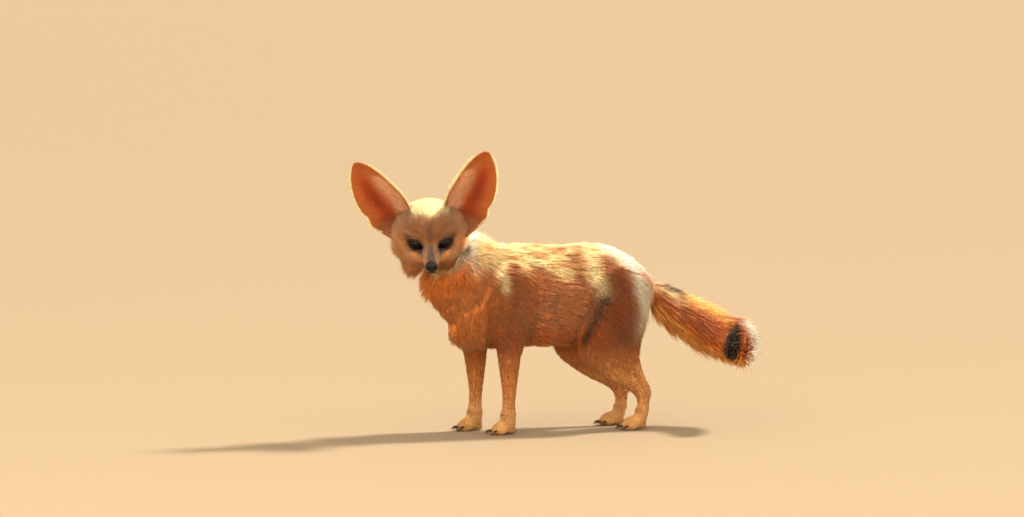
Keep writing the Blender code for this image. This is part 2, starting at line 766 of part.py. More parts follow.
def ear_frame(side, splay, twist):
    """From an ear's own frame, +Z to its tip and +X out of its cup, to the head's frame."""
    base = Vector((EAR_BASE.x, side * EAR_BASE.y, EAR_BASE.z))
    turn = Matrix.Rotation(-side * splay, 4, "X") @ Matrix.Rotation(-EAR_LEAN_BACK, 4, "Y")
    turn = turn @ Matrix.Rotation(side * twist, 4, "Z") @ Matrix.Diagonal((1, side, 1, 1))
    return Matrix.Translation(base) @ turn


def ear_place(across, row):
    """A point of the ear's middle surface: across runs from -1, the inner edge, to 1, the outer."""
    z, inner, outer, depth = row
    middle, half = (inner + outer) / 2, (outer - inner) / 2
    return Vector((0.004 - depth * (1 - across**2), middle + half * across, z))


def ear(name, side, splay, twist, group):
    """A tall leaf-shaped cup: height, inner edge, outer edge and depth of the cup."""
    rows = (
        (-0.014, -0.0120, 0.0130, 0.0150),
        (0.000, -0.0195, 0.0215, 0.0165),
        (0.012, -0.0215, 0.0280, 0.0150),
        (0.021, -0.0214, 0.0270, 0.0138),
        (0.030, -0.0203, 0.0295, 0.0125),
        (0.045, -0.0166, 0.0290, 0.0100),
        (0.058, -0.0128, 0.0260, 0.0078),
        (0.069, -0.0083, 0.0215, 0.0055),
        (0.077, -0.0035, 0.0163, 0.0035),
        (0.0825, 0.0015, 0.0110, 0.0015),
        (0.0843, 0.0045, 0.0080, 0.0006),
    )
    columns = 7
    mesh = bmesh.new()
    grid = []
    rows = smooth_rows(rows, 2)
    for row in rows:
        grid.append([mesh.verts.new(ear_place(2 * k / (columns - 1) - 1, row)) for k in range(columns)])
    for low, high in zip(grid, grid[1:]):
        for k in range(columns - 1):
            mesh.faces.new((low[k], low[k + 1], high[k + 1], high[k]))
    data = bpy.data.meshes.new(name)
    mesh.to_mesh(data)
    mesh.free()
    obj = put(name, data, group)
    wall = obj.modifiers.new("Wall", "SOLIDIFY")
    wall.thickness = EAR_WALL
    wall.offset = 0.0
    settle(obj)
    outward(obj)
    fuse(obj, fringe(rows, group))
    obj.data.transform(ear_frame(side, splay, twist))
    return outward(obj)


def tail_stations():
    """Rows along the tail: run from its root, middle, direction, side, up and reach of the brush."""
    rows = smooth_rows(TAIL_ROUTE, 6)
    stations, run = [], 0.0
    for i, row in enumerate(rows):
        ahead = Vector(rows[min(i + 1, len(rows) - 1)][:3])
        behind = Vector(rows[max(i - 1, 0)][:3])
        if i:
            run += (Vector(row[:3]) - behind).length
        line = (ahead - behind).normalized()
        side = Vector((0, 0, 1)).cross(line).normalized()
        stations.append((run, Vector(row[:3]), line, side, line.cross(side), row[3]))
    return stations


def tail_point(stations, run, turn, share):
    """A point of the brush: run along it, turn around it, share of the way out to its tips."""
    after = next((k for k, station in enumerate(stations) if station[0] > run), len(stations) - 1)
    a, b = stations[after - 1], stations[after]
    t = (run - a[0]) / (b[0] - a[0])
    out = a[3].lerp(b[3], t) * math.cos(turn) + a[4].lerp(b[4], t) * math.sin(turn)
    reach = max(a[5] + (b[5] - a[5]) * t, 0.002) * share
    return a[1].lerp(b[1], t) + out * reach, out


def tail_core(stations, group):
    """The dense under-coat and the tail in it, a smooth form well inside the brush."""
    rings = [
        ring(middle, side, up, reach * CORE_SHARE, reach * CORE_SHARE, reach * CORE_SHARE, 14)
        for run, middle, line, side, up, reach in stations[::2]
    ]
    core = loft("core", rings, TAIL_ROUTE[0][:3], TAIL_TIP, group)
    return melt(core, FLESH_VOXEL, 4, TAIL_TRIANGLES)


def tail_locks(stations, group):
    """The long guard hair of the brush, each lock rooted in the core: its run and its mesh."""
    draw = random.Random(7)
    rows = TAIL_LOCKS["rows"]
    length = TAIL_LOCKS["length"]
    end = stations[-1][0]
    locks = []
    for row in range(rows):
        root = 0.030 + (end - 0.056) * row / (rows - 1)
        around = TAIL_LOCKS["around"] - (row > rows - 3)
        for k in range(around):
            turn = 2 * math.pi * (k + 0.5 * (row % 2) + draw.uniform(-0.12, 0.12)) / around
            reach = draw.uniform(0.94, 1.04)
            long = length * draw.uniform(0.88, 1.06)
            start = root + draw.uniform(-0.003, 0.003)
            path, looks = [], []
            for i in range(5):
                share = i / 4
                out = CORE_SHARE * 0.62 + (reach - CORE_SHARE * 0.62) * share**0.85
                point, look = tail_point(stations, start + long * share, turn, out)
                beside = tail_point(stations, start + long * share, turn + math.pi / 2, out)[1]
                path.append(point)
                looks.append(look * math.cos(LOCK_TILT) + beside * math.sin(LOCK_TILT))
            locks.append((start, lock(path, looks, TAIL_LOCKS["width"], TAIL_LOCKS["depth"], group)))
    return locks


def tail(group):
    """The tail in two nodes, parted where it bends: a core, with locks rooted in it."""
    stations = tail_stations()
    base = tail_core(stations, group)
    base.name = "tail_base"
    middle = next(s for s in stations if s[0] > TAIL_PARTING)
    end = copy_of(base, "tail_end")
    point, line = middle[1], middle[2]
    combine(base, "DIFFERENCE", half_space("cut", point - line * GAP / 2, line, group))
    combine(end, "DIFFERENCE", half_space("cut", point + line * GAP / 2, -line, group))
    locks = tail_locks(stations, group)
    fuse(base, [mesh for start, mesh in locks if start < TAIL_PARTING - 0.004])
    fuse(end, [mesh for start, mesh in locks if start >= TAIL_PARTING - 0.004])
    combine(end, "DIFFERENCE", grown(base, "cut", LOCK_GAP), "MANIFOLD")
    return [base, end]


def centre_on_floor(nodes):
    """Moves every node so that the middle of the fox's outline stands over the origin."""
    corners = [v.co for node in nodes for v in node.data.vertices]
    x = (min(c.x for c in corners) + max(c.x for c in corners)) / 2
    y = (min(c.y for c in corners) + max(c.y for c in corners)) / 2
    for node in nodes:
        node.data.transform(Matrix.Translation((-x, -y, 0)))
    print("moved by", round(-x, 5), round(-y, 5))


def main():
    clear_scene()
    fox = collection("Fennec_fox")
    torso, neck_node, legs = part_body(body_flesh(fox), fox)
    paw_nodes = paws(fox)

    skull = head(fox)
    combine(skull, "DIFFERENCE", mouth_line(skull, fox))
    tufts = into_head(ruff(skull, fox))
    nose_node = nose(fox)
    eyes = [eye("eye_left", 1, fox), eye("eye_right", -1, fox)]
    ears = [ear("ear_left", group=fox, **LEFT_EAR), ear("ear_right", group=fox, **RIGHT_EAR)]
    into_head([skull, nose_node, *eyes, *ears])
    centre, radius = HEAD_PARTING
    combine(skull, "DIFFERENCE", ball("cut", centre, [radius + GAP / 2] * 3, fox, segments=24, rings=16))
    fuse(skull, tufts)
    for node in (neck_node, torso):
        combine(skull, "DIFFERENCE", grown(node, "cut", GAP), "MANIFOLD")
    for node in ears:
        combine(node, "DIFFERENCE", grown(skull, "cut", LOCK_GAP), "MANIFOLD")

    tails = tail(fox)
    for tail_node in tails:
        for node in (torso, *legs):
            if "foreleg" not in node.name:
                combine(tail_node, "DIFFERENCE", grown(node, "cut", GAP), "MANIFOLD")

    nodes = [torso, neck_node, *legs, *paw_nodes, skull, nose_node, *eyes, *ears, *tails]
    centre_on_floor(nodes)
    for node in (torso, neck_node, *legs):
        paint(node, SAND, FUR_ROUGHNESS)
    for node in (skull, *paw_nodes):
        paint(node, CREAM, FUR_ROUGHNESS)
    for node in (*ears, *tails):
        paint(node, RUST, FUR_ROUGHNESS)
    for node in (nose_node, *eyes):
        paint(node, BLACK, WET_ROUGHNESS)


main()
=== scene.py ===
import math

import bpy
import numpy as np
from mathutils import Matrix, Vector
from mathutils.bvhtree import BVHTree


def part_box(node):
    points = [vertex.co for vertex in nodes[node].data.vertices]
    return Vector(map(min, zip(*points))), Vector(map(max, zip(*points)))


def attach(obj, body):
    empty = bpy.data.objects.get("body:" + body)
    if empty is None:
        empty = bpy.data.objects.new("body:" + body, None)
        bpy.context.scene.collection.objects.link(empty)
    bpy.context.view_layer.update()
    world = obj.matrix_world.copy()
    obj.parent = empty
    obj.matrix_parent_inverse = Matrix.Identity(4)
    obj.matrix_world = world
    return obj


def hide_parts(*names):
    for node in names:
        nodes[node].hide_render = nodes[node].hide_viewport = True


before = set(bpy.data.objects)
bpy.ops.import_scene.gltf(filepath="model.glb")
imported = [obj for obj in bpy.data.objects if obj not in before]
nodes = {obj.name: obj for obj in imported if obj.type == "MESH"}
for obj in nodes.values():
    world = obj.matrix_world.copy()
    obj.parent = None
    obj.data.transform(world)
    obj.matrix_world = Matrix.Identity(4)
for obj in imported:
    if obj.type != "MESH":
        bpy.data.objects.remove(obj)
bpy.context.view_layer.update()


# The head's own frame
# A fox's eyes and nose fix where its head looks. The frame is read from the solids of the two
# eyes and the nose: X runs ahead, Y to the animal's left and Z up, from between the eyes.
EYE_BACK = -0.0072
EYE_RADIUS = 0.0098
EYE_SINK = 0.0012
EYE_OUTWARD = math.radians(12.0)
EYE_PITCH = math.radians(-4.0)
EYE_SLANT = math.radians(23.0)
EYE_OPENING = (0.0089, 0.0050)
OPENING_BACK, OPENING_FRONT = (0.0035, 0.95), (0.019, 1.25)
NOSE_FROM_EYES = (0.0437, -0.0105)
DESIGN_EYES = Vector((-0.168, -0.040, 0.2160))


def middle_of(node):
    low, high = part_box(node)
    return (low + high) / 2


eye_at = {1: middle_of("eye_left"), -1: middle_of("eye_right")}
between = (eye_at[1] + eye_at[-1]) / 2
side_axis = (eye_at[1] - eye_at[-1]).normalized()
to_nose = middle_of("nose") - between
to_nose = (to_nose - side_axis * to_nose.dot(side_axis)).normalized()
drop = math.atan2(NOSE_FROM_EYES[1], NOSE_FROM_EYES[0])
over = to_nose.cross(side_axis)
ahead_axis = to_nose * math.cos(drop) - over * math.sin(drop)
up_axis = to_nose * math.sin(drop) + over * math.cos(drop)
HEAD = Matrix((ahead_axis, side_axis, up_axis)).transposed().to_4x4()
HEAD.translation = between - ahead_axis * EYE_BACK
SHIFT = HEAD.translation - DESIGN_EYES
EYE_ASIDE = (eye_at[1] - eye_at[-1]).length / 2


def eye_frame(side):
    """From an eye's own frame, with X out of the pupil, to the part's frame."""
    place = Matrix.Translation((EYE_BACK, side * EYE_ASIDE, 0.0))
    turn = Matrix.Rotation(side * EYE_OUTWARD, 4, "Z") @ Matrix.Rotation(EYE_PITCH, 4, "Y")
    return HEAD @ place @ turn @ Matrix.Translation((-EYE_SINK, 0.0, 0.0))


# The skin's forms
# Under the coat lies one skin. It starts as the body's own solids, with the skull, cheeks, muzzle
# and lids and the core of the tail set against them, all melted together by a voxel remesh.
SKIN_VOXEL = 0.0017
SKULL_VOXEL = 0.0015
SKULL_BALLS = (
    ((-0.028, 0.0, 0.0135), (0.0318, 0.0333, 0.0298)),
    ((-0.014, 0.0, 0.0085), (0.0178, 0.0240, 0.0160)),
    ((-0.021, 0.0, -0.018), (0.0208, 0.0218, 0.0172)),
)
CHEEK_BALLS = (
    ((-0.017, 0.0135, -0.0105), (0.0185, 0.0175, 0.0172)),
    ((-0.026, 0.0225, -0.0020), (0.0170, 0.0182, 0.0200)),
    ((-0.029, 0.0185, -0.0135), (0.0152, 0.0168, 0.0162)),
    ((-0.046, 0.0225, 0.0095), (0.0135, 0.0140, 0.0170)),
    ((-0.026, 0.0165, -0.0235), (0.0160, 0.0130, 0.0150)),
)
MUZZLE = (
    (-0.010, -0.0060, 0.0200, 0.0120, 0.0160),
    (0.003, -0.0070, 0.0165, 0.0105, 0.0145),
    (0.013, -0.0090, 0.0128, 0.0080, 0.0125),
    (0.023, -0.0110, 0.0095, 0.0062, 0.0110),
    (0.031, -0.0120, 0.0076, 0.0054, 0.0098),
    (0.0355, -0.0125, 0.0060, 0.0042, 0.0080),
)
TAIL_LINE = (
    (0.080, 0.000, 0.167, 0.0150),
    (0.104, 0.000, 0.154, 0.0195),
    (0.129, 0.002, 0.137, 0.0245),
    (0.154, 0.002, 0.121, 0.0285),
    (0.175, -0.004, 0.109, 0.0300),
    (0.191, -0.020, 0.100, 0.0295),
    (0.196, -0.043, 0.095, 0.0260),
    (0.191, -0.067, 0.091, 0.0195),
    (0.185, -0.088, 0.089, 0.0090),
)
CORE_SHARE = 0.50
FLESH = ("torso", "neck", "foreleg_left", "foreleg_right", "hindleg_left", "hindleg_right",
         "forepaw_left", "forepaw_right", "hindpaw_left", "hindpaw_right")


def only(obj):
    """Makes one object the only one selected, and the active one."""
    bpy.ops.object.select_all(action="DESELECT")
    obj.select_set(True)
    bpy.context.view_layer.objects.active = obj
    return obj


def joined(name, objects):
    """Joins objects into one and names it."""
    only(objects[0])
    for other in objects[1:]:
        other.select_set(True)
    if len(objects) > 1:
        bpy.ops.object.join()
    bpy.ops.object.transform_apply(location=True, rotation=True, scale=True)
    objects[0].name = name
    return objects[0]


def finished(obj, kind, **settings):
    """Adds one modifier and applies it."""
    only(obj)
    step = obj.modifiers.new(kind, kind)
    for key, value in settings.items():
        setattr(step, key, value)
    bpy.ops.object.modifier_apply(modifier=step.name)
    return obj


def outward(obj):
    """Turns all faces of a closed mesh outwards."""
    bpy.ops.object.mode_set(mode="EDIT")
    bpy.ops.mesh.select_all(action="SELECT")
    bpy.ops.mesh.normals_make_consistent(inside=False)
    bpy.ops.object.mode_set(mode="OBJECT")
    return obj


def ball(centre, radii, frame_of=HEAD):
    """A round form of the given radii, in the head's frame unless another is given."""
    bpy.ops.mesh.primitive_uv_sphere_add(segments=32, ring_count=20, radius=1.0)
    obj = bpy.context.object
    obj.matrix_world = frame_of @ Matrix.Translation(centre) @ Matrix.Diagonal((*radii, 1.0))
    return obj


def smooth_rows(rows, steps):
    """Rows of numbers read from a smooth curve through the given rows, some steps to a span."""
    rows = np.array(rows, float)
    ends = np.vstack([2 * rows[0] - rows[1], rows, 2 * rows[-1] - rows[-2]])
    out = []
    for a, b, c, d in zip(ends, ends[1:], ends[2:], ends[3:]):
        for t in np.arange(steps) / steps:
            out.append(0.5 * (2 * b + (c - a) * t + (2 * a - 5 * b + 4 * c - d) * t**2
                              + (3 * b - a - 3 * c + d) * t**3))
    return np.array([*out, rows[-1]])


def snout():
    """The muzzle and jaw, drawn out ring by ring from a circle."""
    rows = smooth_rows(MUZZLE, 3)
    bpy.ops.mesh.primitive_circle_add(vertices=28, radius=1.0, fill_type="NGON")
    obj = bpy.context.object
    bpy.ops.object.mode_set(mode="EDIT")
    for _ in rows[1:]:
        bpy.ops.mesh.extrude_region_move(TRANSFORM_OT_translate={"value": (0, 0, 1)})
    bpy.ops.object.mode_set(mode="OBJECT")
    for vert in obj.data.vertices:
        across, lift, row = vert.co.y, vert.co.x, rows[int(round(vert.co.z))]
        x, mid, half, rise, fall = row
        vert.co = (x, half * across, mid + lift * (rise if lift > 0 else fall))
    obj.matrix_world = HEAD
    return obj


def tube(points, radii):
    """A round tube through points in the part's frame, with its own radius at each."""
    bpy.ops.curve.primitive_nurbs_path_add()
    obj = bpy.context.object
    obj.data.splines.clear()
    line = obj.data.splines.new("POLY")
    line.points.add(len(points) - 1)
    for spot, place, radius in zip(line.points, points, radii):
        spot.co = (*place, 1.0)
        spot.radius = radius
    obj.data.bevel_depth = 1.0
    obj.data.bevel_resolution = 4
    obj.data.use_fill_caps = True
    only(obj)
    bpy.ops.object.convert(target="MESH")
    bpy.ops.object.mode_set(mode="EDIT")
    bpy.ops.mesh.select_all(action="SELECT")
    bpy.ops.mesh.remove_doubles(threshold=1e-6)
    bpy.ops.object.mode_set(mode="OBJECT")
    return outward(obj)


skull = [ball(*form) for form in SKULL_BALLS]
for (bx, by, bz), radii in CHEEK_BALLS:
    skull += [ball((bx, side * by, bz), radii) for side in (-1, 1)]
skull = joined("skull", skull)
finished(skull, "REMESH", mode="VOXEL", voxel_size=SKULL_VOXEL)
finished(skull, "SMOOTH", factor=0.5, iterations=22)

tail_rows = smooth_rows(TAIL_LINE, 8)
tail_mid = tail_rows[:, :3] + np.array(SHIFT)
tail_reach = tail_rows[:, 3]
tail_core = tube(tail_mid, tail_reach * CORE_SHARE)

copies = []
for name in FLESH:
    copy = nodes[name].copy()
    copy.data = nodes[name].data.copy()
    for key in list(copy.keys()):
        del copy[key]
    copy.parent = None
    bpy.context.scene.collection.objects.link(copy)
    copies.append(copy)
flesh = joined("flesh", copies)
bpy.ops.object.mode_set(mode="EDIT")
bpy.ops.mesh.select_all(action="SELECT")
bpy.ops.mesh.remove_doubles(threshold=1e-6)
bpy.ops.object.mode_set(mode="OBJECT")
finished(flesh, "REMESH", mode="VOXEL", voxel_size=SKIN_VOXEL)


# Ears
# Each ear is a tall leaf of thin gristle, cupped forwards, with a small pocket notched into its
# outer edge. It is a grid bent to that cup and given a thickness, standing on the skull.
EAR_BASE = Vector((-0.022, 0.0325, 0.018))
EAR_LEAN = math.radians(9.0)
EAR_WALL = 0.0013
EARS = {1: (math.radians(19.5), math.radians(2.0)), -1: (math.radians(29.0), math.radians(8.0))}
EAR_ROWS = (
    (-0.014, -0.0120, 0.0130, 0.0150),
    (0.000, -0.0195, 0.0215, 0.0165),
    (0.012, -0.0215, 0.0280, 0.0150),
    (0.021, -0.0214, 0.0270, 0.0138),
    (0.030, -0.0203, 0.0295, 0.0125),
    (0.045, -0.0166, 0.0290, 0.0100),
    (0.058, -0.0128, 0.0260, 0.0078),
    (0.069, -0.0083, 0.0215, 0.0055),
    (0.077, -0.0035, 0.0163, 0.0035),
    (0.0825, 0.0015, 0.0110, 0.0015),
    (0.0843, 0.0045, 0.0080, 0.0006),
)
EAR_COLUMNS = 24


def ear_frame(side):
    """From an ear's own frame, with Z to its tip and X out of its cup, to the part's frame."""
    splay, twist = EARS[side]
    base = Matrix.Translation((EAR_BASE.x, side * EAR_BASE.y, EAR_BASE.z))
    turn = Matrix.Rotation(-side * splay, 4, "X") @ Matrix.Rotation(-EAR_LEAN, 4, "Y")
    return HEAD @ base @ turn @ Matrix.Rotation(side * twist, 4, "Z") @ Matrix.Diagonal((1, side, 1, 1))


ear_rows = smooth_rows(EAR_ROWS, 5)


def ear_leaf(side):
    """One ear as a closed leaf of even thickness."""
    bpy.ops.mesh.primitive_grid_add(x_subdivisions=EAR_COLUMNS, y_subdivisions=len(ear_rows) - 1, size=2.0)
    obj = bpy.context.object
    for vert in obj.data.vertices:
        across = vert.co.x
        z, inner, outer, depth = ear_rows[int(round((vert.co.y + 1) / 2 * (len(ear_rows) - 1)))]
        middle, half = (inner + outer) / 2, (outer - inner) / 2
        vert.co = (0.004 - depth * (1 - across**2), middle + half * across, z)
    obj.matrix_world = ear_frame(side)
    finished(obj, "SOLIDIFY", thickness=EAR_WALL, offset=0.0)
    bpy.ops.object.transform_apply(location=True, rotation=True, scale=True)
    return outward(obj)


ears = {side: ear_leaf(side) for side in (1, -1)}


# Regions of the body
# The coat is long on the back and tail and very short on the face and feet. Every point of the
# skin learns which part of the body is nearest, and fields of numbers are spread from there.
def points_of(obj):
    out = np.empty(len(obj.data.vertices) * 3, np.float64)
    obj.data.vertices.foreach_get("co", out)
    return out.reshape(-1, 3)


def triangles_of(obj):
    obj.data.calc_loop_triangles()
    out = np.empty(len(obj.data.loop_triangles) * 3, np.int32)
    obj.data.loop_triangles.foreach_get("vertices", out)
    return out.reshape(-1, 3)


REGIONS = ("torso", "neck", "foreleg", "hindleg", "paw", "head", "ear", "tail")
nearest_points, nearest_faces, face_region, offset = [], [], [], 0
for region, objects in (
    ("torso", [nodes["torso"]]),
    ("neck", [nodes["neck"]]),
    ("foreleg", [nodes["foreleg_left"], nodes["foreleg_right"]]),
    ("hindleg", [nodes["hindleg_left"], nodes["hindleg_right"]]),
    ("paw", [nodes[name] for name in FLESH[6:]]),
    ("head", [skull, nodes["head"]]),
    ("ear", list(ears.values())),
    ("tail", [tail_core]),
):
    for obj in objects:
        verts, faces = points_of(obj), triangles_of(obj)
        nearest_points.append(verts)
        nearest_faces.append(faces + offset)
        face_region += [REGIONS.index(region)] * len(faces)
        offset += len(verts)
nearest = BVHTree.FromPolygons(np.vstack(nearest_points).tolist(), np.vstack(nearest_faces).tolist())


def regions_of(points):
    """The number of the nearest region for each point."""
    return np.array([face_region[nearest.find_nearest(p)[2]] for p in points.tolist()])


def in_frame(points, matrix):
    """Points of the part's frame, read in another frame."""
    inverse = np.array(matrix.inverted())
    return points @ inverse[:3, :3].T + inverse[:3, 3]


def smoothstep(low, high, value):
    t = np.clip((value - low) / (high - low), 0.0, 1.0)
    return t * t * (3 - 2 * t)


# Skin
# One skin runs over the whole fox, from the lips to the tail. It lies inside the outline by the
# depth of the coat: 4 mm on the trunk, 3 on the neck, 2 on the legs, 1 on head and feet, and none
# on the ears. Its eyes are opened with cutters, given a depth and a size at their back and front.
DEPTHS = {"torso": 0.0042, "neck": 0.0030, "foreleg": 0.0020, "hindleg": 0.0024,
          "paw": 0.0008, "head": 0.0009, "ear": 0.0, "tail": 0.0}


def spread(values, edges, rounds):
    """Evens out a value over neighbouring points of a mesh."""
    values = values.reshape(len(values), -1).copy()
    count = len(values)
    degree = np.bincount(edges.ravel(), minlength=count)[:, None]
    a, b = edges[:, 0], edges[:, 1]
    for _ in range(rounds):
        total = np.empty_like(values)
        for k in range(values.shape[1]):
            total[:, k] = (np.bincount(a, values[b, k], count) + np.bincount(b, values[a, k], count))
        values = 0.5 * values + 0.5 * total / np.maximum(degree, 1)
    return values


def edges_of(obj):
    out = np.empty(len(obj.data.edges) * 2, np.int32)
    obj.data.edges.foreach_get("vertices", out)
    return out.reshape(-1, 2)


def normals_of(obj):
    out = np.empty(len(obj.data.vertices) * 3, np.float32)
    obj.data.vertex_normals.foreach_get("vector", out)
    return out.reshape(-1, 3).astype(float)


def set_points(obj, points):
    obj.data.vertices.foreach_set("co", points.astype(np.float32).ravel())
    obj.data.update()


def almond(side, grow, turns=32):
    """The edge of an eye's opening, in the eye's own frame, as pairs across and up."""
    wide, high = EYE_OPENING[0] + grow, EYE_OPENING[1] + grow
    t = np.arange(turns) / turns * 2 * math.pi
    across, lift = wide * np.cos(t), high * np.sin(t) * (1 - 0.35 * np.cos(t) ** 2)
    lean = side * EYE_SLANT
    return across * math.cos(lean) - lift * math.sin(lean), across * math.sin(lean) + lift * math.cos(lean)


def eye_opening(side):
    """A cutter that opens the lids in an almond, down to the globe of the eye."""
    across, lift = almond(side, 0.0)
    bpy.ops.mesh.primitive_circle_add(vertices=len(across), radius=1.0, fill_type="NGON")
    obj = bpy.context.object
    bpy.ops.object.mode_set(mode="EDIT")
    bpy.ops.mesh.extrude_region_move(TRANSFORM_OT_translate={"value": (0, 0, 1)})
    bpy.ops.object.mode_set(mode="OBJECT")
    for vert in obj.data.vertices:
        k = int(round(math.atan2(vert.co.y, vert.co.x) / (2 * math.pi) * len(across))) % len(across)
        out_, grown = OPENING_FRONT if vert.co.z > 0.5 else OPENING_BACK
        vert.co = (out_, across[k] * grown, lift[k] * grown)
    obj.matrix_world = eye_frame(side)
    only(obj)
    bpy.ops.object.transform_apply(location=True, rotation=True, scale=True)
    return outward(obj)


head_forms = [skull, snout()]
for side in (-1, 1):
    head_forms.append(ball((0, 0, 0), [EYE_RADIUS + 0.0021] * 3, eye_frame(side)))
skin = joined("skin", [flesh, *head_forms, tail_core])
finished(skin, "REMESH", mode="VOXEL", voxel_size=SKIN_VOXEL)
finished(skin, "SMOOTH", factor=0.5, iterations=5)
place, edges = points_of(skin), edges_of(skin)
region = regions_of(place)
depth = np.array([DEPTHS[name] for name in REGIONS])[region]
depth = spread(depth, edges, 14)[:, 0]
set_points(skin, place - normals_of(skin) * depth[:, None])
finished(skin, "SMOOTH", factor=0.5, iterations=3)
for side in (-1, 1):
    only(skin)
    finished(skin, "BOOLEAN", operation="UNION", solver="EXACT", object=ears[side])
    bpy.data.objects.remove(ears[side], do_unlink=True)
for side in (-1, 1):
    opening = eye_opening(side)
    finished(skin, "BOOLEAN", operation="DIFFERENCE", solver="EXACT", object=opening)
    bpy.data.objects.remove(opening, do_unlink=True)


# Markings
# A desert fox is pale and sandy, cream along the back and rump, tawny on its flanks and legs, with a
# grey-brown brow, a blue-grey bridge to the nose and a black spot in a pale tail end. Much of this is
# painted light. The deep orange of flanks, chest and legs is painted warm shade, and the white bands
# of rump and neck are painted sunlight. The cream of the back and crown is partly painted sunlight,
# and the brow is partly painted shade. Skin and coat share this pattern. Paths over the trunk and
# tail are in millimetres along and up its left side.
def rgb(red, green, blue):
    """A colour given as 0 to 255 values of a screen, as light."""
    value = np.array([red, green, blue]) / 255
    return np.where(value <= 0.04045, value / 12.92, ((value + 0.055) / 1.055) ** 2.4)


CREAM = rgb(253, 232, 178)
BACK_SAND = rgb(236, 190, 116)
LOIN = rgb(190, 128, 66)
TAWNY = rgb(186, 104, 46)
RUST = rgb(194, 92, 20)
THIGH = rgb(154, 72, 18)
THIGH_DARK = rgb(74, 34, 12)
CHEST = rgb(226, 134, 60)
THROAT = rgb(226, 130, 52)
LEG = rgb(220, 136, 66)
SHANK = rgb(242, 168, 98)
FOOT = rgb(232, 174, 110)
BROW = rgb(174, 112, 66)
CHEEK = rgb(255, 172, 98)
BRIDGE = rgb(54, 47, 56)
SUNLIT_CROWN = rgb(252, 232, 176)
PALE_CHEEK = rgb(228, 166, 116)
MUZZLE_GREY = rgb(158, 116, 94)
LIP = rgb(46, 28, 24)
WHITE = rgb(253, 246, 228)
EAR_TAN = rgb(204, 108, 46)
EAR_RED = rgb(186, 64, 9)
EAR_DARK = rgb(116, 48, 24)
EAR_PALE = rgb(220, 158, 118)
EAR_RIM = rgb(200, 104, 34)
EAR_BACK = rgb(214, 152, 84)
TAIL_ORANGE = rgb(216, 106, 14)
TAIL_GOLD = rgb(240, 190, 104)
TAIL_BLACK = rgb(42, 22, 14)


def noise(points, size, seed):
    """Smooth noise from 0 to 1 over space, in lumps of about the given size."""
    cells = points / size + 100.0
    base = np.floor(cells).astype(np.int64)
    t = cells - base
    t = t * t * (3 - 2 * t)
    total = np.zeros(len(points))
    for corner in range(8):
        step = np.array([corner & 1, corner >> 1 & 1, corner >> 2 & 1])
        key = (base + step) @ np.array([73856093, 19349663, 83492791]) + seed * 7919
        value = np.sin(key % 100003 * 12.9898) * 43758.5453
        value -= np.floor(value)
        total += value * np.prod(np.where(step == 1, t, 1 - t), axis=1)
    return total


def mixed(under, over, share):
    return under + (over - under) * share[:, None]


def spot(value, centre, width):
    return np.exp(-((value - centre) / width) ** 2)


def side_view(p):
    """Where points lie along and up the fox's left side, in millimetres."""
    x, y, z = p.T
    return np.stack([0.940 * x - 0.342 * y, 0.030 * x + 0.082 * y + 0.996 * z], axis=1) * 1000


def broadside(p):
    """The same, with the right side folded over to the left."""
    return side_view(p * [1, 0, 1] - np.abs(p) * [0, 1, 0])


def stroke(uv, path, width):
    """How near points are to a painted path, from 1 on it to 0 away from it."""
    best = np.full(len(uv), 1e9)
    for (ax, ay), (bx, by) in zip(path, path[1:]):
        way = np.array([bx - ax, by - ay])
        t = np.clip(((uv - (ax, ay)) @ way) / (way @ way), 0, 1)
        best = np.minimum(best, ((uv - (ax, ay) - t[:, None] * way) ** 2).sum(1))
    return np.exp(-best / width**2)


def painted(under, colour, uv, path, width, gain=1.0, share=1.0):
    """A colour laid along a path. The gain says how full it is, and the share how strong at most."""
    return mixed(under, colour, np.clip(stroke(uv, path, width) * gain, 0, 1) * share)


EDGE = ((-130, 176), (-80, 178), (-66, 176), (-50, 186), (-37, 172), (-22, 180), (-9, 171), (3, 165),
        (13, 166), (22, 186), (50, 197), (60, 190), (78, 184), (95, 180), (125, 160))
SHOULDER_SUNLIGHT = ((-67, 204), (-65, 180), (-63, 160))
SHOULDER_SHADE = ((-55, 190), (-54, 150), (-56, 112))
NECK_SUNLIGHT = ((-100, 224), (-102, 206), (-103, 184))
NECK_TUFT = ((-102, 200), (-103, 184))
LOIN_SHADE = ((20, 196), (22, 176))
LOIN_LINES = (((-1, 205), (9, 196), (18, 188)), ((-32, 185), (-17, 178), (0, 169)))
HIP_SUNLIGHT = ((36, 194), (40, 176), (45, 157))
HIP_SHADE = ((54, 186), (62, 172), (68, 156))
THIGH_LINE = ((49, 150), (40, 133), (31, 114), (27, 104))
THIGH_MIDDLE = ((64, 150), (72, 118))
RUMP_SUNLIT_BAND = ((52, 206), (67, 198), (81, 184), (87, 164), (92, 150))
RUMP_SUNLIT_EDGE = ((85, 190), (101, 180), (117, 166))
RUMP_SUNLIT_STRIP = ((92, 158), (95, 140), (91, 120), (88, 98))


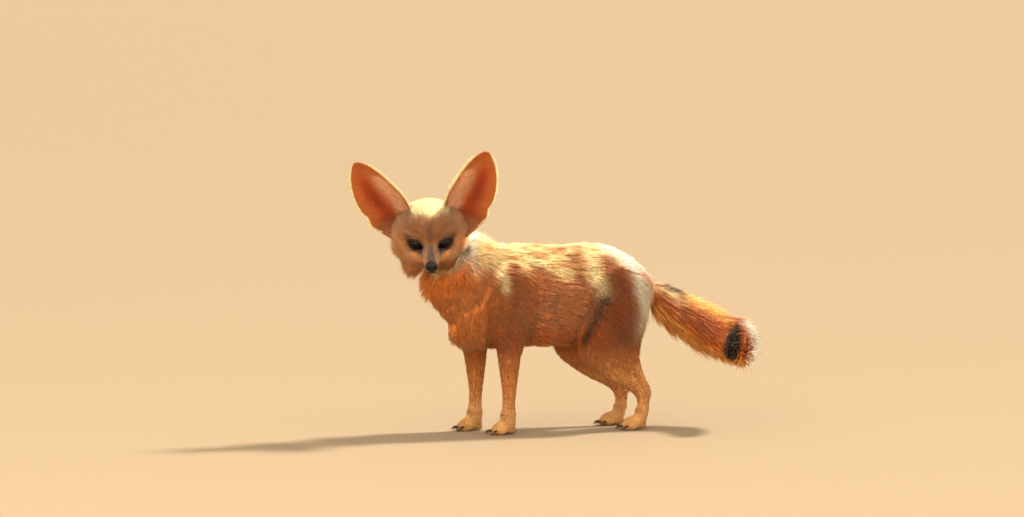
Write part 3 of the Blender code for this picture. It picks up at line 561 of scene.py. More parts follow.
def markings(points, region):
    """The colour of the coat at each point of the part."""
    p = points - np.array(SHIFT)
    x, y, z = p.T
    h = in_frame(points, HEAD)
    uv = broadside(p)
    combed = np.stack([(0.95 * x - 0.30 * z) * 0.28, y, 0.30 * x + 0.95 * z], axis=1)
    streak = noise(combed, 0.0042, 1) - 0.5
    grain = noise(combed, 0.0021, 7) - 0.5
    lump = noise(p, 0.022, 2) - 0.5
    wave = 16 * streak + 7 * lump
    # Painted shade: the coat's own tawny is deepened to rust low on the flank and to orange on the chest, as
    # warm shade thrown up from the ground.
    body = mixed(np.tile(RUST, (len(p), 1)), TAWNY, smoothstep(0.100, 0.135, z))
    body = mixed(body, CHEST, smoothstep(-0.085, -0.115, x))
    body = body * (1 + 0.22 * streak + 0.16 * grain)[:, None]
    body = painted(body, THIGH, uv, THIGH_MIDDLE, 21, 1.25)
    # Painted shade behind the shoulder.
    body = painted(body, THIGH, uv, SHOULDER_SHADE, 7, 0.55)
    # The cream back over the tawny flank is partly the coat's own pale back and partly painted sunlight: its
    # wavy lower edge is where the sunlit top meets the shaded side.
    ticked = np.clip(0.5 + 1.9 * streak + 1.0 * grain, 0, 1)
    back = mixed(np.tile(BACK_SAND, (len(p), 1)), CREAM, ticked)
    back = mixed(back, LOIN, smoothstep(0.30, 0.05, ticked) * 0.75)
    saddle = smoothstep(-5.0, 5.0, uv[:, 1] - np.interp(uv[:, 0], *np.array(EDGE).T) + wave)
    body = mixed(body, back, saddle)
    # Painted shade on the loin.
    body = painted(body, LOIN, uv, LOIN_SHADE, 9, 1.1, 0.85)
    for path in LOIN_LINES:
        body = painted(body, THIGH, uv + wave[:, None] * 0.12, path, 2.4, 0.7)
    # Painted shade behind the hip.
    body = painted(body, THIGH, uv, HIP_SHADE, 8, 0.95 + 1.3 * streak)
    # Painted sunlight: cream streaks where light catches the ridges of the shoulder and the hip.
    body = painted(body, CREAM, uv, SHOULDER_SUNLIGHT, 5.5, 0.95 + 1.1 * streak)
    body = painted(body, CREAM, uv, HIP_SUNLIGHT, 7.5, 1.15 + 1.0 * streak)
    # The dark line down the front of the thigh is partly a dusky mark in the coat and partly painted shadow
    # in the groove between flank and thigh.
    body = painted(body, THIGH_DARK, uv, THIGH_LINE, 5.0, 1.2, 0.9)
    body = painted(body, THIGH_DARK, uv, THIGH_LINE[:2], 6.0, 0.6)
    # Painted sunlight: a strip down the back of the rump, loin-coloured and turning white towards its top,
    # white bands over the rump and along its edge, and a white patch on the neck, where the sun catches the
    # coat.
    strip = np.clip(stroke(uv, RUMP_SUNLIT_STRIP, 7.5) * (1.25 + streak), 0, 1)
    body = mixed(mixed(body, LOIN, strip), WHITE, strip * smoothstep(98, 138, uv[:, 1]) * 0.95)
    for path, width in ((RUMP_SUNLIT_BAND, 6.0), (RUMP_SUNLIT_EDGE, 6.5), (NECK_SUNLIGHT, 9.5)):
        body = painted(body, WHITE, uv, path, width, 1.15 + 0.8 * streak)
    # Painted shade: the orange of the throat is warm shade over a paler coat.
    throat = smoothstep(-0.110, -0.130, x) * smoothstep(0.150, 0.180, z)
    body = mixed(body, THROAT, throat * smoothstep(-0.030, 0.0, h[:, 0]))
    inner = smoothstep(0.014, 0.004, np.abs(y)) * smoothstep(0.125, 0.105, z)
    body = mixed(body, FOOT, inner * 0.5)
    # Painted shade: the orange of the legs is warm shade over a paler coat; the feet are paler.
    leg = mixed(np.tile(LEG, (len(p), 1)), FOOT, smoothstep(0.070, 0.005, z))
    shank = smoothstep(0.02, 0.05, x) * smoothstep(0.085, 0.06, z) * smoothstep(0.02, 0.04, z)
    leg = mixed(leg, SHANK, shank)
    leg = leg * (1 + 0.22 * streak + 0.14 * grain)[:, None]
    out = mixed(body, leg, smoothstep(0.112, 0.078, z))
    head = head_markings(h, streak, lump)
    out = np.where((region == REGIONS.index("head"))[:, None], head, out)
    tail = tail_markings(points, streak)
    return np.where((region == REGIONS.index("tail"))[:, None], tail, out)


def head_markings(h, streak, lump):
    """Face colours, in the head's frame."""
    hx, hy, hz = h.T
    side = np.abs(hy)
    fine = noise(h * np.array([0.35, 1.0, 0.6]), 0.0022, 9) - 0.5
    out = np.tile(CHEEK, (len(h), 1))
    low = smoothstep(-0.012, -0.028, hz)
    # Painted shade: warm orange under the jaw, as on the throat.
    out = mixed(out, THROAT, low * 0.8)
    # The grey-brown brow is partly the face's own colour and partly painted shade on the forehead.
    brow = smoothstep(-0.006, 0.006, hz) * smoothstep(0.036, 0.020, side)
    out = mixed(out, BROW, brow)
    mask = spot(side, 0.0155, 0.0125) * spot(hz, 0.0, 0.0085) * smoothstep(-0.03, -0.01, hx)
    out = mixed(out, BROW * 0.8, np.clip(mask * 1.1, 0, 1) * 0.7)
    pale = spot(side, 0.019, 0.0070) * spot(hz, -0.0125, 0.0050) * smoothstep(-0.02, 0.0, hx)
    out = mixed(out, PALE_CHEEK, np.clip(pale * 1.1, 0, 1) * 0.8)
    over_eye = spot(side, 0.018, 0.0060) * spot(hz, 0.0105, 0.0030)
    out = mixed(out, PALE_CHEEK, np.clip(over_eye, 0, 1) * 0.45)
    out = out * (1 + 0.35 * fine + 0.15 * lump)[:, None]
    # The cream crown between the ears is partly the head's own pale fur and partly painted sunlight from
    # above and behind.
    crown = smoothstep(0.0250, 0.0310, hz - 0.30 * side + 0.007 * streak + 0.009 * fine)
    out = mixed(out, SUNLIT_CROWN, crown)
    muzzle = smoothstep(0.016, 0.006, side) * smoothstep(0.004, 0.020, hx) * smoothstep(-0.022, -0.014, hz)
    out = mixed(out, MUZZLE_GREY, muzzle * 0.7)
    wide = np.interp(hx, (0.0, 0.012, 0.034), (0.0034, 0.0040, 0.0062))
    bridge = smoothstep(1.25, 0.45, side / wide) * smoothstep(-0.004, 0.010, hx)
    bridge *= smoothstep(-0.019, -0.011, hz)
    out = mixed(out, BRIDGE, bridge * (0.85 + 0.4 * fine))
    for edge_side in (1, -1):
        e = in_frame(h @ np.array(HEAD.to_3x3()).T + np.array(HEAD.translation),
                     eye_frame(edge_side) @ Matrix.Rotation(edge_side * EYE_SLANT, 4, "X"))
        rim_wide, rim_high = EYE_OPENING[0] + 0.0024, EYE_OPENING[1] + 0.0014
        reach_ = np.hypot(e[:, 1] / rim_wide, e[:, 2] / rim_high)
        lidded = smoothstep(1.22, 1.02, reach_) * (e[:, 0] > 0)
        out = mixed(out, LIP, lidded * 0.92)
        inner_corner = np.stack([e[:, 1] * edge_side, e[:, 2]], axis=1) * 1000
        tear = stroke(inner_corner, ((-6.5, -0.5), (-10.0, -2.2), (-13.0, -5.5)), 1.5) * (e[:, 0] > 0)
        out = mixed(out, LIP, tear * 0.8)
    lips = spot(hz, -0.0200, 0.0016) * smoothstep(0.008, 0.018, hx)
    out = mixed(out, LIP, np.clip(lips, 0, 1) * 0.8)
    chin = smoothstep(-0.0215, -0.024, hz) * smoothstep(0.002, 0.014, hx)
    out = mixed(out, PALE_CHEEK, chin * 0.6)
    # The back of the head takes the back's sandy, cream-ticked colour, which is partly painted sunlight.
    nape = smoothstep(-0.022, -0.040, hx)
    sandy = mixed(np.tile(BACK_SAND, (len(h), 1)), CREAM, np.clip(0.5 + 1.6 * fine, 0, 1))
    return mixed(out, sandy, nape)


def along_tail(points):
    """How far along the tail each point is, in rows, and its offset from the middle line."""
    gap = points[:, None, :] - tail_mid[None, ::2, :]
    row = np.argmin((gap**2).sum(2), axis=1) * 2
    return row, points - tail_mid[row]


TAIL_RIM = ((217, 118), (224, 98), (219, 74))
TAIL_DARK_TOP = ((118, 164), (128, 159), (139, 153))
TAIL_GOLD_TOP = ((146, 149), (170, 138), (192, 126))
TAIL_SHADE = ((120, 145), (150, 127), (172, 108))
TAIL_MARK = ((194, 127), (213, 121))
TAIL_SPOT = ((198, 116), (193, 100), (189, 86))
TAIL_ROOT_SUNLIGHT = ((98, 184), (115, 167), (134, 150))


def tail_markings(points, streak):
    """The brush: orange below, gold along its top, a dark streak near its root, and a black tip."""
    row, out_from = along_tail(points)
    share = row / (len(tail_mid) - 1)
    uv = side_view(points - np.array(SHIFT))
    high = out_from[:, 2] / tail_reach[row]
    out = np.tile(TAIL_ORANGE, (len(points), 1))
    out = mixed(out, RUST, smoothstep(-0.1, 0.25, high) * 0.7)
    # Painted shade along the side of the brush.
    out = painted(out, THIGH, uv, TAIL_SHADE, 11, 1 + 0.8 * streak, 0.8)
    out = mixed(out, TAIL_GOLD, smoothstep(-0.30, -0.46, high) * 0.45)
    # Painted sunlight, partly the back's own cream: cream over the top of the brush's root, and a cream
    # streak along it.
    out = mixed(out, CREAM, smoothstep(0.22, 0.08, share) * smoothstep(-0.2, 0.2, high + streak * 0.6))
    out = painted(out, CREAM, uv, TAIL_ROOT_SUNLIGHT, 7.0, 0.9 + 2.0 * streak)
    out = painted(out, TAIL_GOLD, uv, TAIL_GOLD_TOP, 7.5, 1.25 + 0.6 * streak, smoothstep(0.0, 0.2, high))
    out = painted(out, THIGH_DARK, uv, TAIL_DARK_TOP, 4.5, 1.2 + streak)
    out = painted(out, THIGH, uv, TAIL_MARK, 4.5, 1.1, 0.8)
    out = painted(out, WHITE, uv, TAIL_RIM, 8.0, 1.25 + 0.8 * streak)
    near = smoothstep(0.66, 0.76, share)
    black = smoothstep(0.25, 0.55, stroke(uv + streak[:, None] * 4.0, TAIL_SPOT, 7.0) * near)
    out = mixed(out, TAIL_BLACK, black)
    tip = smoothstep(0.93, 0.99, share + 0.04 * streak) * smoothstep(0.10, 0.30, stroke(uv, TAIL_SPOT, 8.0))
    return mixed(out, TAIL_BLACK, tip)


def ear_markings(points, normals, side):
    """Ear colours: a red-brown cup with a painted glow of light through the ear and painted shade at its base
    and ridge, pale hair along the inner edge, a thin rim and a sandy back.
    """
    e = in_frame(points, ear_frame(side))
    z = e[:, 2]
    inner = np.interp(z, ear_rows[:, 0], ear_rows[:, 1])
    outer = np.interp(z, ear_rows[:, 0], ear_rows[:, 2])
    across = np.clip((e[:, 1] - inner) / np.maximum(outer - inner, 1e-4), 0, 1)
    front = smoothstep(-0.15, 0.25, normals @ np.array(ear_frame(side).to_3x3().col[0]))
    grain = noise(e * np.array([1, 1, 0.25]), 0.004, 5) - 0.5
    cup = np.tile(EAR_TAN, (len(points), 1)) * (1 + 0.25 * grain)[:, None]
    # The red band in the cup is partly the ear's own skin and partly a painted glow of light shining through
    # the thin ear.
    band = spot(across, 0.62, 0.15) * smoothstep(0.076, 0.050, z)
    cup = mixed(cup, EAR_RED, np.clip(band * 1.25, 0, 1))
    # Painted shade along the ridge inside the cup.
    cup = mixed(cup, EAR_DARK, spot(across, 0.62, 0.11) * spot(z, 0.034, 0.018) * 0.55)
    pale = spot(across, 0.27, 0.12) * smoothstep(0.002, 0.016, z) * smoothstep(0.072, 0.050, z)
    cup = mixed(cup, EAR_PALE, np.clip(pale * (1.1 + 0.8 * grain), 0, 1))
    # Painted shade deep in the base of the cup, fading into the brow's colour at its very foot.
    cup = mixed(cup, EAR_DARK, smoothstep(0.020, 0.006, z) * 0.6)
    cup = mixed(cup, BROW * 0.85, smoothstep(0.010, -0.004, z) * 0.9)
    edge = np.minimum(across, 1 - across)
    cup = mixed(cup, EAR_DARK, smoothstep(0.12, 0.06, across) * smoothstep(0.050, 0.020, z) * 0.7)
    cup = mixed(cup, EAR_RIM, smoothstep(0.05, 0.015, edge))
    back = mixed(np.tile(EAR_BACK, (len(points), 1)), EAR_RIM, smoothstep(0.10, 0.02, edge) * 0.7)
    return mixed(back, cup, front)


def near_ears(points):
    """Which ear a point of the ears belongs to."""
    return np.where(in_frame(points, HEAD)[:, 1] > 0, 1, -1)


def coat_colour(points, normals, region):
    out = markings(points, region)
    for side in (1, -1):
        mine = (region == REGIONS.index("ear")) & (near_ears(points) == side)
        if mine.any():
            out[mine] = ear_markings(points[mine], normals[mine], side)
    return out


# Fields over the skin
# Lie, length, width and spacing of the coat, and its colour, at each point of the finished skin.
# The lie runs from the nose back over the head, down the legs and along the tail.
place, normal, edges = points_of(skin), normals_of(skin), edges_of(skin)
region = regions_of(place)
design = place - np.array(SHIFT)
headed = in_frame(place, HEAD)
NAMES = {name: k for k, name in enumerate(REGIONS)}


def unit(vectors):
    return vectors / np.maximum(np.linalg.norm(vectors, axis=1, keepdims=True), 1e-9)


lie = np.tile([1.0, 0.0, -0.32], (len(place), 1))
chesty = smoothstep(-0.085, -0.125, design[:, 0])
lie += chesty[:, None] * np.array([-0.75, 0.0, -0.75])
rumpy = smoothstep(0.060, 0.105, design[:, 0])
lie += rumpy[:, None] * np.array([-0.30, 0.0, -0.45])
lie[region == NAMES["neck"]] = (0.50, 0.05, -0.85)
lower = smoothstep(0.135, 0.095, design[:, 2])[:, None]
limb = np.isin(region, (NAMES["foreleg"], NAMES["hindleg"]))
lie[limb] = (np.array([0.55, 0, -0.85]) * (1 - lower) + np.array([0.12, 0, -1.0]) * lower)[limb]
lie[region == NAMES["paw"]] = (-0.75, 0.0, -0.5)
from_nose = headed - np.array([0.040, 0.0, -0.013])
lie_head = unit(from_nose * np.array([1.0, 1.25, 1.0])) @ np.array(HEAD.to_3x3()).T
lie[region == NAMES["head"]] = lie_head[region == NAMES["head"]]
row, out_from = along_tail(place)
tangent = unit(np.gradient(tail_mid, axis=0))
lie[region == NAMES["tail"]] = tangent[row][region == NAMES["tail"]]
for side in (1, -1):
    mine = (region == NAMES["ear"]) & (near_ears(place) == side)
    lie[mine] = np.array(ear_frame(side).to_3x3().col[2]) + np.array(ear_frame(side).to_3x3().col[1]) * 0.15
aside = 0.22 - 0.65 * smoothstep(-0.012, -0.024, headed[:, 2:3])
flare = np.array(side_axis)[None] * np.sign(headed[:, 1:2]) * aside - np.array(up_axis)[None] * 1.5
on_head, on_neck = region == NAMES["head"], region == NAMES["neck"]
on_right = headed[:, 1] < 0


def cheek_field(back, wide):
    """How far each point lies in the cheeks: low on the head, behind and outside the given spans."""
    return (on_head * smoothstep(0.006, -0.010, headed[:, 2]) * smoothstep(*back, headed[:, 0])
            * smoothstep(*wide, np.abs(headed[:, 1])))


cheek = cheek_field((0.004, -0.018), (0.008, 0.022))
lie += cheek[:, None] * flare
lie = spread(unit(lie), edges, 16)
lie = unit(lie - normal * (lie * normal).sum(1)[:, None])

face_reach = np.linalg.norm(from_nose, axis=1)
LENGTHS = {"torso": 0.0125, "neck": 0.0125, "foreleg": 0.0070, "hindleg": 0.0085,
           "paw": 0.0034, "head": 0.0048, "ear": 0.0028, "tail": 0.034}
BRUSH_PROFILE = (0, 0.12, 0.3, 0.6, 0.78, 1), (0.40, 0.62, 0.95, 0.85, 0.62, 0.66)
length = np.array([LENGTHS[name] for name in REGIONS])[region]
length[limb] *= (1.25 - 0.65 * smoothstep(0.12, 0.05, design[:, 2]))[limb]
length = np.where(on_head, 0.0020 + 0.0075 * smoothstep(0.012, 0.075, face_reach), length)
on_tail = region == NAMES["tail"]
share_along = row / (len(tail_mid) - 1)
length[on_tail] *= np.interp(share_along, *BRUSH_PROFILE)[on_tail]
by_ears = np.zeros(len(place))
for side in (1, -1):
    ear_foot = np.array([EAR_BASE.x + 0.004, side * (EAR_BASE.y - 0.002), EAR_BASE.z])
    base_gap = np.linalg.norm(headed - ear_foot, axis=1)
    by_ears += on_head * smoothstep(0.031, 0.018, base_gap) * smoothstep(-0.004, 0.006, headed[:, 2])
length += by_ears * 0.0038
ruff = cheek_field((0.002, -0.016), (0.006, 0.018))
length += ruff * np.where(on_right, 0.0060, 0.0015)
low_ruff = ruff * on_right * smoothstep(-0.014, -0.024, headed[:, 2])
length += 0.0045 * low_ruff
length += on_neck * 0.0020 + (region == NAMES["torso"]) * 0.0015 * chesty
fore_chest = smoothstep(-0.095, -0.125, design[:, 0]) * smoothstep(0.125, 0.160, design[:, 2])
on_crown = on_head * smoothstep(0.018, 0.028, headed[:, 2])
length *= 1 - 0.35 * on_crown
throaty = smoothstep(-0.006, -0.020, headed[:, 2]) * smoothstep(-0.060, -0.040, headed[:, 0])
stand = 1 + 0.05 * on_neck * throaty + 0.20 * fore_chest * (region == NAMES["torso"])
stand += 0.5 * ruff * on_right - 0.4 * on_crown
neck_tuft = stroke(broadside(design), NECK_TUFT, 10.0) * on_neck
stand += 0.6 * by_ears + 1.2 * neck_tuft
length += 0.0025 * neck_tuft
stand = spread(stand, edges, 10)[:, 0]
length = spread(length, edges, 8)[:, 0]
skin_colour = coat_colour(place, normal, region)
skin_colour = spread(skin_colour, edges, 2)


# Fur shader
# Every hair carries its own colour in an attribute. Fine noise breaks it up, and a soft sheen
# gives the edge glow of thin fur against the light.
def fur_noise():
    """A shader group that darkens and lightens a colour a little in fine grains."""
    group = bpy.data.node_groups.new("Fur_grain", "ShaderNodeTree")
    group.interface.new_socket("Color", in_out="INPUT", socket_type="NodeSocketColor")
    group.interface.new_socket("Scale", in_out="INPUT", socket_type="NodeSocketFloat")
    group.interface.new_socket("Color", in_out="OUTPUT", socket_type="NodeSocketColor")
    group.interface.new_socket("Height", in_out="OUTPUT", socket_type="NodeSocketFloat")
    enter = group.nodes.new("NodeGroupInput")
    leave = group.nodes.new("NodeGroupOutput")
    where = group.nodes.new("ShaderNodeTexCoord")
    grain = group.nodes.new("ShaderNodeTexNoise")
    grain.inputs["Detail"].default_value = 3.0
    ramp = group.nodes.new("ShaderNodeMapRange")
    ramp.inputs["From Min"].default_value = 0.3
    ramp.inputs["From Max"].default_value = 0.7
    ramp.inputs["To Min"].default_value = 0.82
    ramp.inputs["To Max"].default_value = 1.12
    tint = group.nodes.new("ShaderNodeVectorMath")
    tint.operation = "SCALE"
    link = group.links.new
    link(where.outputs["Object"], grain.inputs["Vector"])
    link(enter.outputs["Scale"], grain.inputs["Scale"])
    link(grain.outputs["Fac"], ramp.inputs["Value"])
    link(enter.outputs["Color"], tint.inputs[0])
    link(ramp.outputs["Result"], tint.inputs["Scale"])
    link(tint.outputs["Vector"], leave.inputs["Color"])
    link(grain.outputs["Fac"], leave.inputs["Height"])
    return group


FUR_GRAIN = fur_noise()


def shaded(name, sockets):
    """A new material with its node tree and its shader, whose own sockets are set by name."""
    material = bpy.data.materials.new(name)
    material.use_nodes = True
    shader = material.node_tree.nodes["Principled BSDF"]
    for socket, value in sockets.items():
        shader.inputs[socket].default_value = value
    return material, material.node_tree, shader


def coat_attribute(tree):
    """The node that reads a mesh's own colours."""
    colour = tree.nodes.new("ShaderNodeAttribute")
    colour.attribute_name = "coat"
    return colour


def fur_material(name, scale, roughness, sheen, bump=0.0):
    """A coat finish that takes its colour from the mesh's own colour attribute."""
    material, tree, shader = shaded(name, {
        "Roughness": roughness, "Specular IOR Level": 0.25, "Sheen Weight": sheen,
        "Sheen Roughness": 0.45, "Sheen Tint": (1.0, 0.86, 0.62, 1.0)})
    colour = coat_attribute(tree)
    grain = tree.nodes.new("ShaderNodeGroup")
    grain.node_tree = FUR_GRAIN
    grain.inputs["Scale"].default_value = scale
    tree.links.new(colour.outputs["Color"], grain.inputs["Color"])
    tree.links.new(grain.outputs["Color"], shader.inputs["Base Color"])
    if bump:
        relief = tree.nodes.new("ShaderNodeBump")
        relief.inputs["Strength"].default_value = bump
        relief.inputs["Distance"].default_value = 0.0006
        tree.links.new(grain.outputs["Height"], relief.inputs["Height"])
        tree.links.new(relief.outputs["Normal"], shader.inputs["Normal"])
    return material


def set_colour(obj, colours):
    """Stores a colour for each point of a mesh."""
    layer = obj.data.color_attributes.new("coat", "FLOAT_COLOR", "POINT")
    rgba = np.ones((len(colours), 4), np.float32)
    rgba[:, :3] = np.clip(colours, 0, 1)
    layer.data.foreach_set("color", rgba.ravel())


# Painted shade: the skin under the coat takes the coat's colour darkened to 72%, for the shade the hair casts
# on it.
set_colour(skin, skin_colour * 0.72)
skin.data.materials.clear()
skin.data.materials.append(fur_material("skin_underfur", 900.0, 0.85, 0.1, 0.5))
for polygon in skin.data.polygons:
    polygon.use_smooth = True
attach(skin, "root")
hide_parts(*FLESH, "head", "ear_left", "ear_right", "tail_base", "tail_end")


# The coat
# Fur is solid mesh: thin three-sided tufts that taper to a point, bend and lie along the body.
# Roots are drawn over the skin's own faces, thickly on the face and more loosely on the back.
draw = np.random.default_rng(11)
faces = triangles_of(skin)
corners = place[faces]
cross = np.cross(corners[:, 1] - corners[:, 0], corners[:, 2] - corners[:, 0])
area = np.linalg.norm(cross, axis=1) / 2
face_region_of = region[faces[:, 0]]
UV_PATCH = 0.003


def bare(points):
    """Where no fur grows: in the eyes' openings, on the nose and along the lips."""
    h = in_frame(points, HEAD)
    out = (np.linalg.norm(h - np.array([0.0365, 0, -0.0105]), axis=1) < 0.0075)
    for side in (1, -1):
        slant = eye_frame(side) @ Matrix.Rotation(side * EYE_SLANT, 4, "X")
        e = in_frame(points, slant)
        wide, high = EYE_OPENING
        out |= ((e[:, 1] / (wide + 0.0022)) ** 2 + (e[:, 2] / (high + 0.0020)) ** 2 < 1) & (e[:, 0] > 0)
    return out


crowd = 1 + 1.4 * smoothstep(-0.085, -0.115, place[faces[:, 0], 0] - SHIFT.x)


def roots(chosen, count):
    """Draws root points over the chosen faces, with their normal, lie, length and colour."""
    weight = np.where(chosen, area * crowd, 0.0)
    pick = draw.choice(len(weight), size=count, p=weight / weight.sum())
    a, b = draw.random(count), draw.random(count)
    flip = a + b > 1
    a[flip], b[flip] = 1 - a[flip], 1 - b[flip]
    mix = np.stack([1 - a - b, a, b], axis=1)[:, :, None]
    take = lambda field: (field[faces[pick]] * mix).sum(1)
    root = take(place)
    keep = ~bare(root)
    data = {"root": root, "normal": unit(take(normal)), "lie": unit(take(lie)),
            "length": take(length[:, None])[:, 0], "colour": take(skin_colour),
            "stand": take(stand[:, None])[:, 0], "region": region[faces[pick, 0]]}
    return {key: value[keep] for key, value in data.items()}


def locks(root, size):
    """Gathers roots into locks: the middle of each root's lock, and a random tone for it."""
    drift = np.stack([noise(root, size * 1.7, seed) for seed in (41, 42, 43)], axis=1) * size * 1.5
    cell = np.floor((root + drift) / size)
    middle = (cell + 0.5) * size - drift
    key = cell.astype(np.int64) @ np.array([73856093, 19349663, 83492791])
    tone = np.sin(key % 100003 * 78.233) * 43758.5453
    return middle, tone - np.floor(tone)


def unwrap(root, axis):
    """Lays roots out by their place along an axis and their turn round it."""
    along = root @ axis
    middle = root.mean(0)
    other = np.cross(axis, [0.0, 1.0, 0.0] if abs(axis[1]) < 0.9 else [1.0, 0.0, 0.0])
    other /= np.linalg.norm(other)
    third = np.cross(axis, other)
    turn = np.arctan2((root - middle) @ third, (root - middle) @ other) / (2 * math.pi) + 0.5
    reach = (along - along.min()) / max(np.ptp(along), 1e-6)
    return np.stack([0.01 + 0.98 * turn, 0.01 + 0.98 * reach], axis=1)


def tufts(name, data, width, lift, curl, shares, material, axis, tip_light=1.12, root_dark=0.62,
          sway=0.22, sink=0.0006, clump=0.006, pull=0.45, mottle=0.22, paint=None):
    """One coat piece: tapered tufts with rings at the given shares of their length, and a tip."""
    root, normal_, lie_ = data["root"], data["normal"], data["lie"]
    count = len(root)
    beside = np.cross(normal_, lie_)
    lean = (noise(root, clump, 31) - 0.5) * 2.4 * sway + draw.normal(0, sway * 0.5, count)
    way = unit(lie_ * np.cos(lean)[:, None] + beside * np.sin(lean)[:, None])
    beside = np.cross(normal_, way)
    long = data["length"] * draw.uniform(0.78, 1.18, count)
    rise = lift * data["stand"] * draw.uniform(0.70, 1.25, count)
    thick = width * draw.uniform(0.75, 1.25, count)
    middle, lock_tone = locks(root, clump)
    toward = middle - root
    toward = (toward - normal_ * (toward * normal_).sum(1)[:, None]
              - way * (toward * way).sum(1)[:, None] * 0.6) * pull
    rise = rise * (0.82 + 0.36 * lock_tone)
    tone = (draw.normal(1.0, 0.08, count) + mottle * (lock_tone - 0.5))[:, None]
    rings, colours = [], []
    for share in (*shares, 1.0):
        flat = long * share
        high = long * rise * (share - curl * share**2)
        centre = root - normal_ * sink + way * flat[:, None] + normal_ * high[:, None] + toward * share**1.5
        # Painted shade and light along each hair: darker toward the root, where the coat shades it, and
        # lighter toward the tip, where light catches it.
        shade = root_dark + (tip_light - root_dark) * share**0.7
        colours.append((paint(centre) if paint else data["colour"]) * tone * shade)
        if share == 1.0:
            rings.append(centre[:, None, :])
            break
        half = thick * (1 - share) ** 0.55 / 2
        across, up = beside * half[:, None], normal_ * half[:, None] * 0.6
        rings.append(np.stack([centre - across, centre + up * 1.4, centre + across], axis=1))
    steps = len(shares)
    per = steps * 3 + 1
    points = np.concatenate(rings, axis=1).reshape(-1, 3)
    tints = np.concatenate([np.repeat(c[:, None, :], 3 if k < steps else 1, axis=1)
                            for k, c in enumerate(colours)], axis=1).reshape(-1, 3)
    pattern = [(2, 1, 0)]
    for k in range(steps - 1):
        for j in range(3):
            a, b, c, d = 3 * k + j, 3 * k + (j + 1) % 3, 3 * k + 3 + (j + 1) % 3, 3 * k + 3 + j
            pattern += [(a, b, c), (a, c, d)]
    top = 3 * (steps - 1)
    pattern += [(top + j, top + (j + 1) % 3, per - 1) for j in range(3)]
    pattern = np.array(pattern)
    loops = (pattern[None] + per * np.arange(count)[:, None, None]).reshape(-1)
    mesh = bpy.data.meshes.new(name)
    mesh.vertices.add(len(points))
    mesh.vertices.foreach_set("co", points.astype(np.float32).ravel())
    mesh.loops.add(len(loops))
    mesh.loops.foreach_set("vertex_index", loops.astype(np.int32))
    mesh.polygons.add(len(loops) // 3)
    mesh.polygons.foreach_set("loop_start", np.arange(0, len(loops), 3, dtype=np.int32))
    mesh.polygons.foreach_set("use_smooth", np.ones(len(loops) // 3, bool))
    across_uv = np.array([-0.5, 0.0, 0.5] * steps + [0.0])
    along_uv = np.array([share - 0.5 for share in shares for _ in range(3)] + [0.5])
    patch = np.stack([across_uv, along_uv], axis=1) * UV_PATCH
    uv = (unwrap(root, axis)[:, None, :] + patch[None, pattern.ravel(), :]).reshape(-1, 2)
    layer = mesh.uv_layers.new(name="OFBake")
    layer.data.foreach_set("uv", np.clip(uv, 0, 1).astype(np.float32).ravel())
    mesh.update()
    mesh.validate()
    obj = bpy.data.objects.new(name, mesh)
    bpy.context.scene.collection.objects.link(obj)
    set_colour(obj, tints)
    obj.data.materials.append(material)
    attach(obj, "root")
    return obj


def shared_out(data, pieces, axis):
    """Splits roots into pieces of equal count along an axis."""
    order = np.argsort(data["root"] @ axis, kind="stable")
    return [{key: value[part] for key, value in data.items()} for part in np.array_split(order, pieces)]


X_AXIS, Z_AXIS = np.array([1.0, 0, 0]), np.array([0, 0, 1.0])
THIN = 1.0

# Body coat
# The coat of the trunk and neck is dense and about 12 mm long. It lies backwards, gathers in
# locks, and breaks into soft points along the back.
body_fur = fur_material("body_coat", 420.0, 0.62, 0.35)
trunk_roots = roots(np.isin(face_region_of, (NAMES["torso"], NAMES["neck"])), int(49000 * THIN))
for k, part in enumerate(shared_out(trunk_roots, 4, X_AXIS)):
    tufts(f"coat_body_{k + 1}", part, 0.00112, 0.52, 0.32, (0.0, 0.45), body_fur, X_AXIS,
          clump=0.0065, pull=0.6, root_dark=0.68, tip_light=1.15,
          paint=lambda where, which=part["region"]: markings(where, which))

# Leg coat
# Shorter, closer hair runs down the legs, and the feet have a short velvet. Each leg is a piece
# of its own, and the four feet share one.
leg_fur = fur_material("leg_coat", 500.0, 0.62, 0.3)
for kind, count in (("fore", 10000), ("hind", 14500)):
    for side_name, side in (("left", -1), ("right", 1)):
        mine = (face_region_of == NAMES[kind + "leg"]) & (np.sign(design[faces[:, 0], 1]) == side)
        tufts(f"coat_{kind}leg_{side_name}", roots(mine, int(count * THIN)), 0.00085, 0.40, 0.3, (0.0,),
              leg_fur, Z_AXIS, clump=0.004, pull=0.4, mottle=0.14)
tufts("coat_paws", roots(face_region_of == NAMES["paw"], int(14000 * THIN)), 0.00058, 0.34, 0.2, (0.0,),
      leg_fur, Z_AXIS, clump=0.003, pull=0.2, mottle=0.1)

# Face coat
# The face has the shortest hair of all, from 2 mm at the nose to about 9 at the back of the head.
# It is split in three pieces from back to front, and the rearmost bends most.
face_fur = fur_material("face_coat", 700.0, 0.6, 0.3)
head_roots = roots(face_region_of == NAMES["head"], int(54000 * THIN))
for k, part in enumerate(shared_out(head_roots, 3, np.array(ahead_axis))):
    tufts(f"coat_head_{k + 1}", part, 0.00050, 0.32, 0.3, (0.0, 0.5) if k == 0 else (0.0,), face_fur,
          np.array(ahead_axis), sway=0.14, sink=0.0003, clump=0.0035, pull=0.3, mottle=0.14)

# Ear coat
# Both sides of the ears wear a thin, close down. Long pale hair grows from the inner edge and lies
# over the cup, and a cream fringe stands out along both edges.
ear_fur = fur_material("ear_coat", 700.0, 0.65, 0.3)
ear_roots = roots(face_region_of == NAMES["ear"], int(36000 * THIN))
side_of = near_ears(ear_roots["root"])


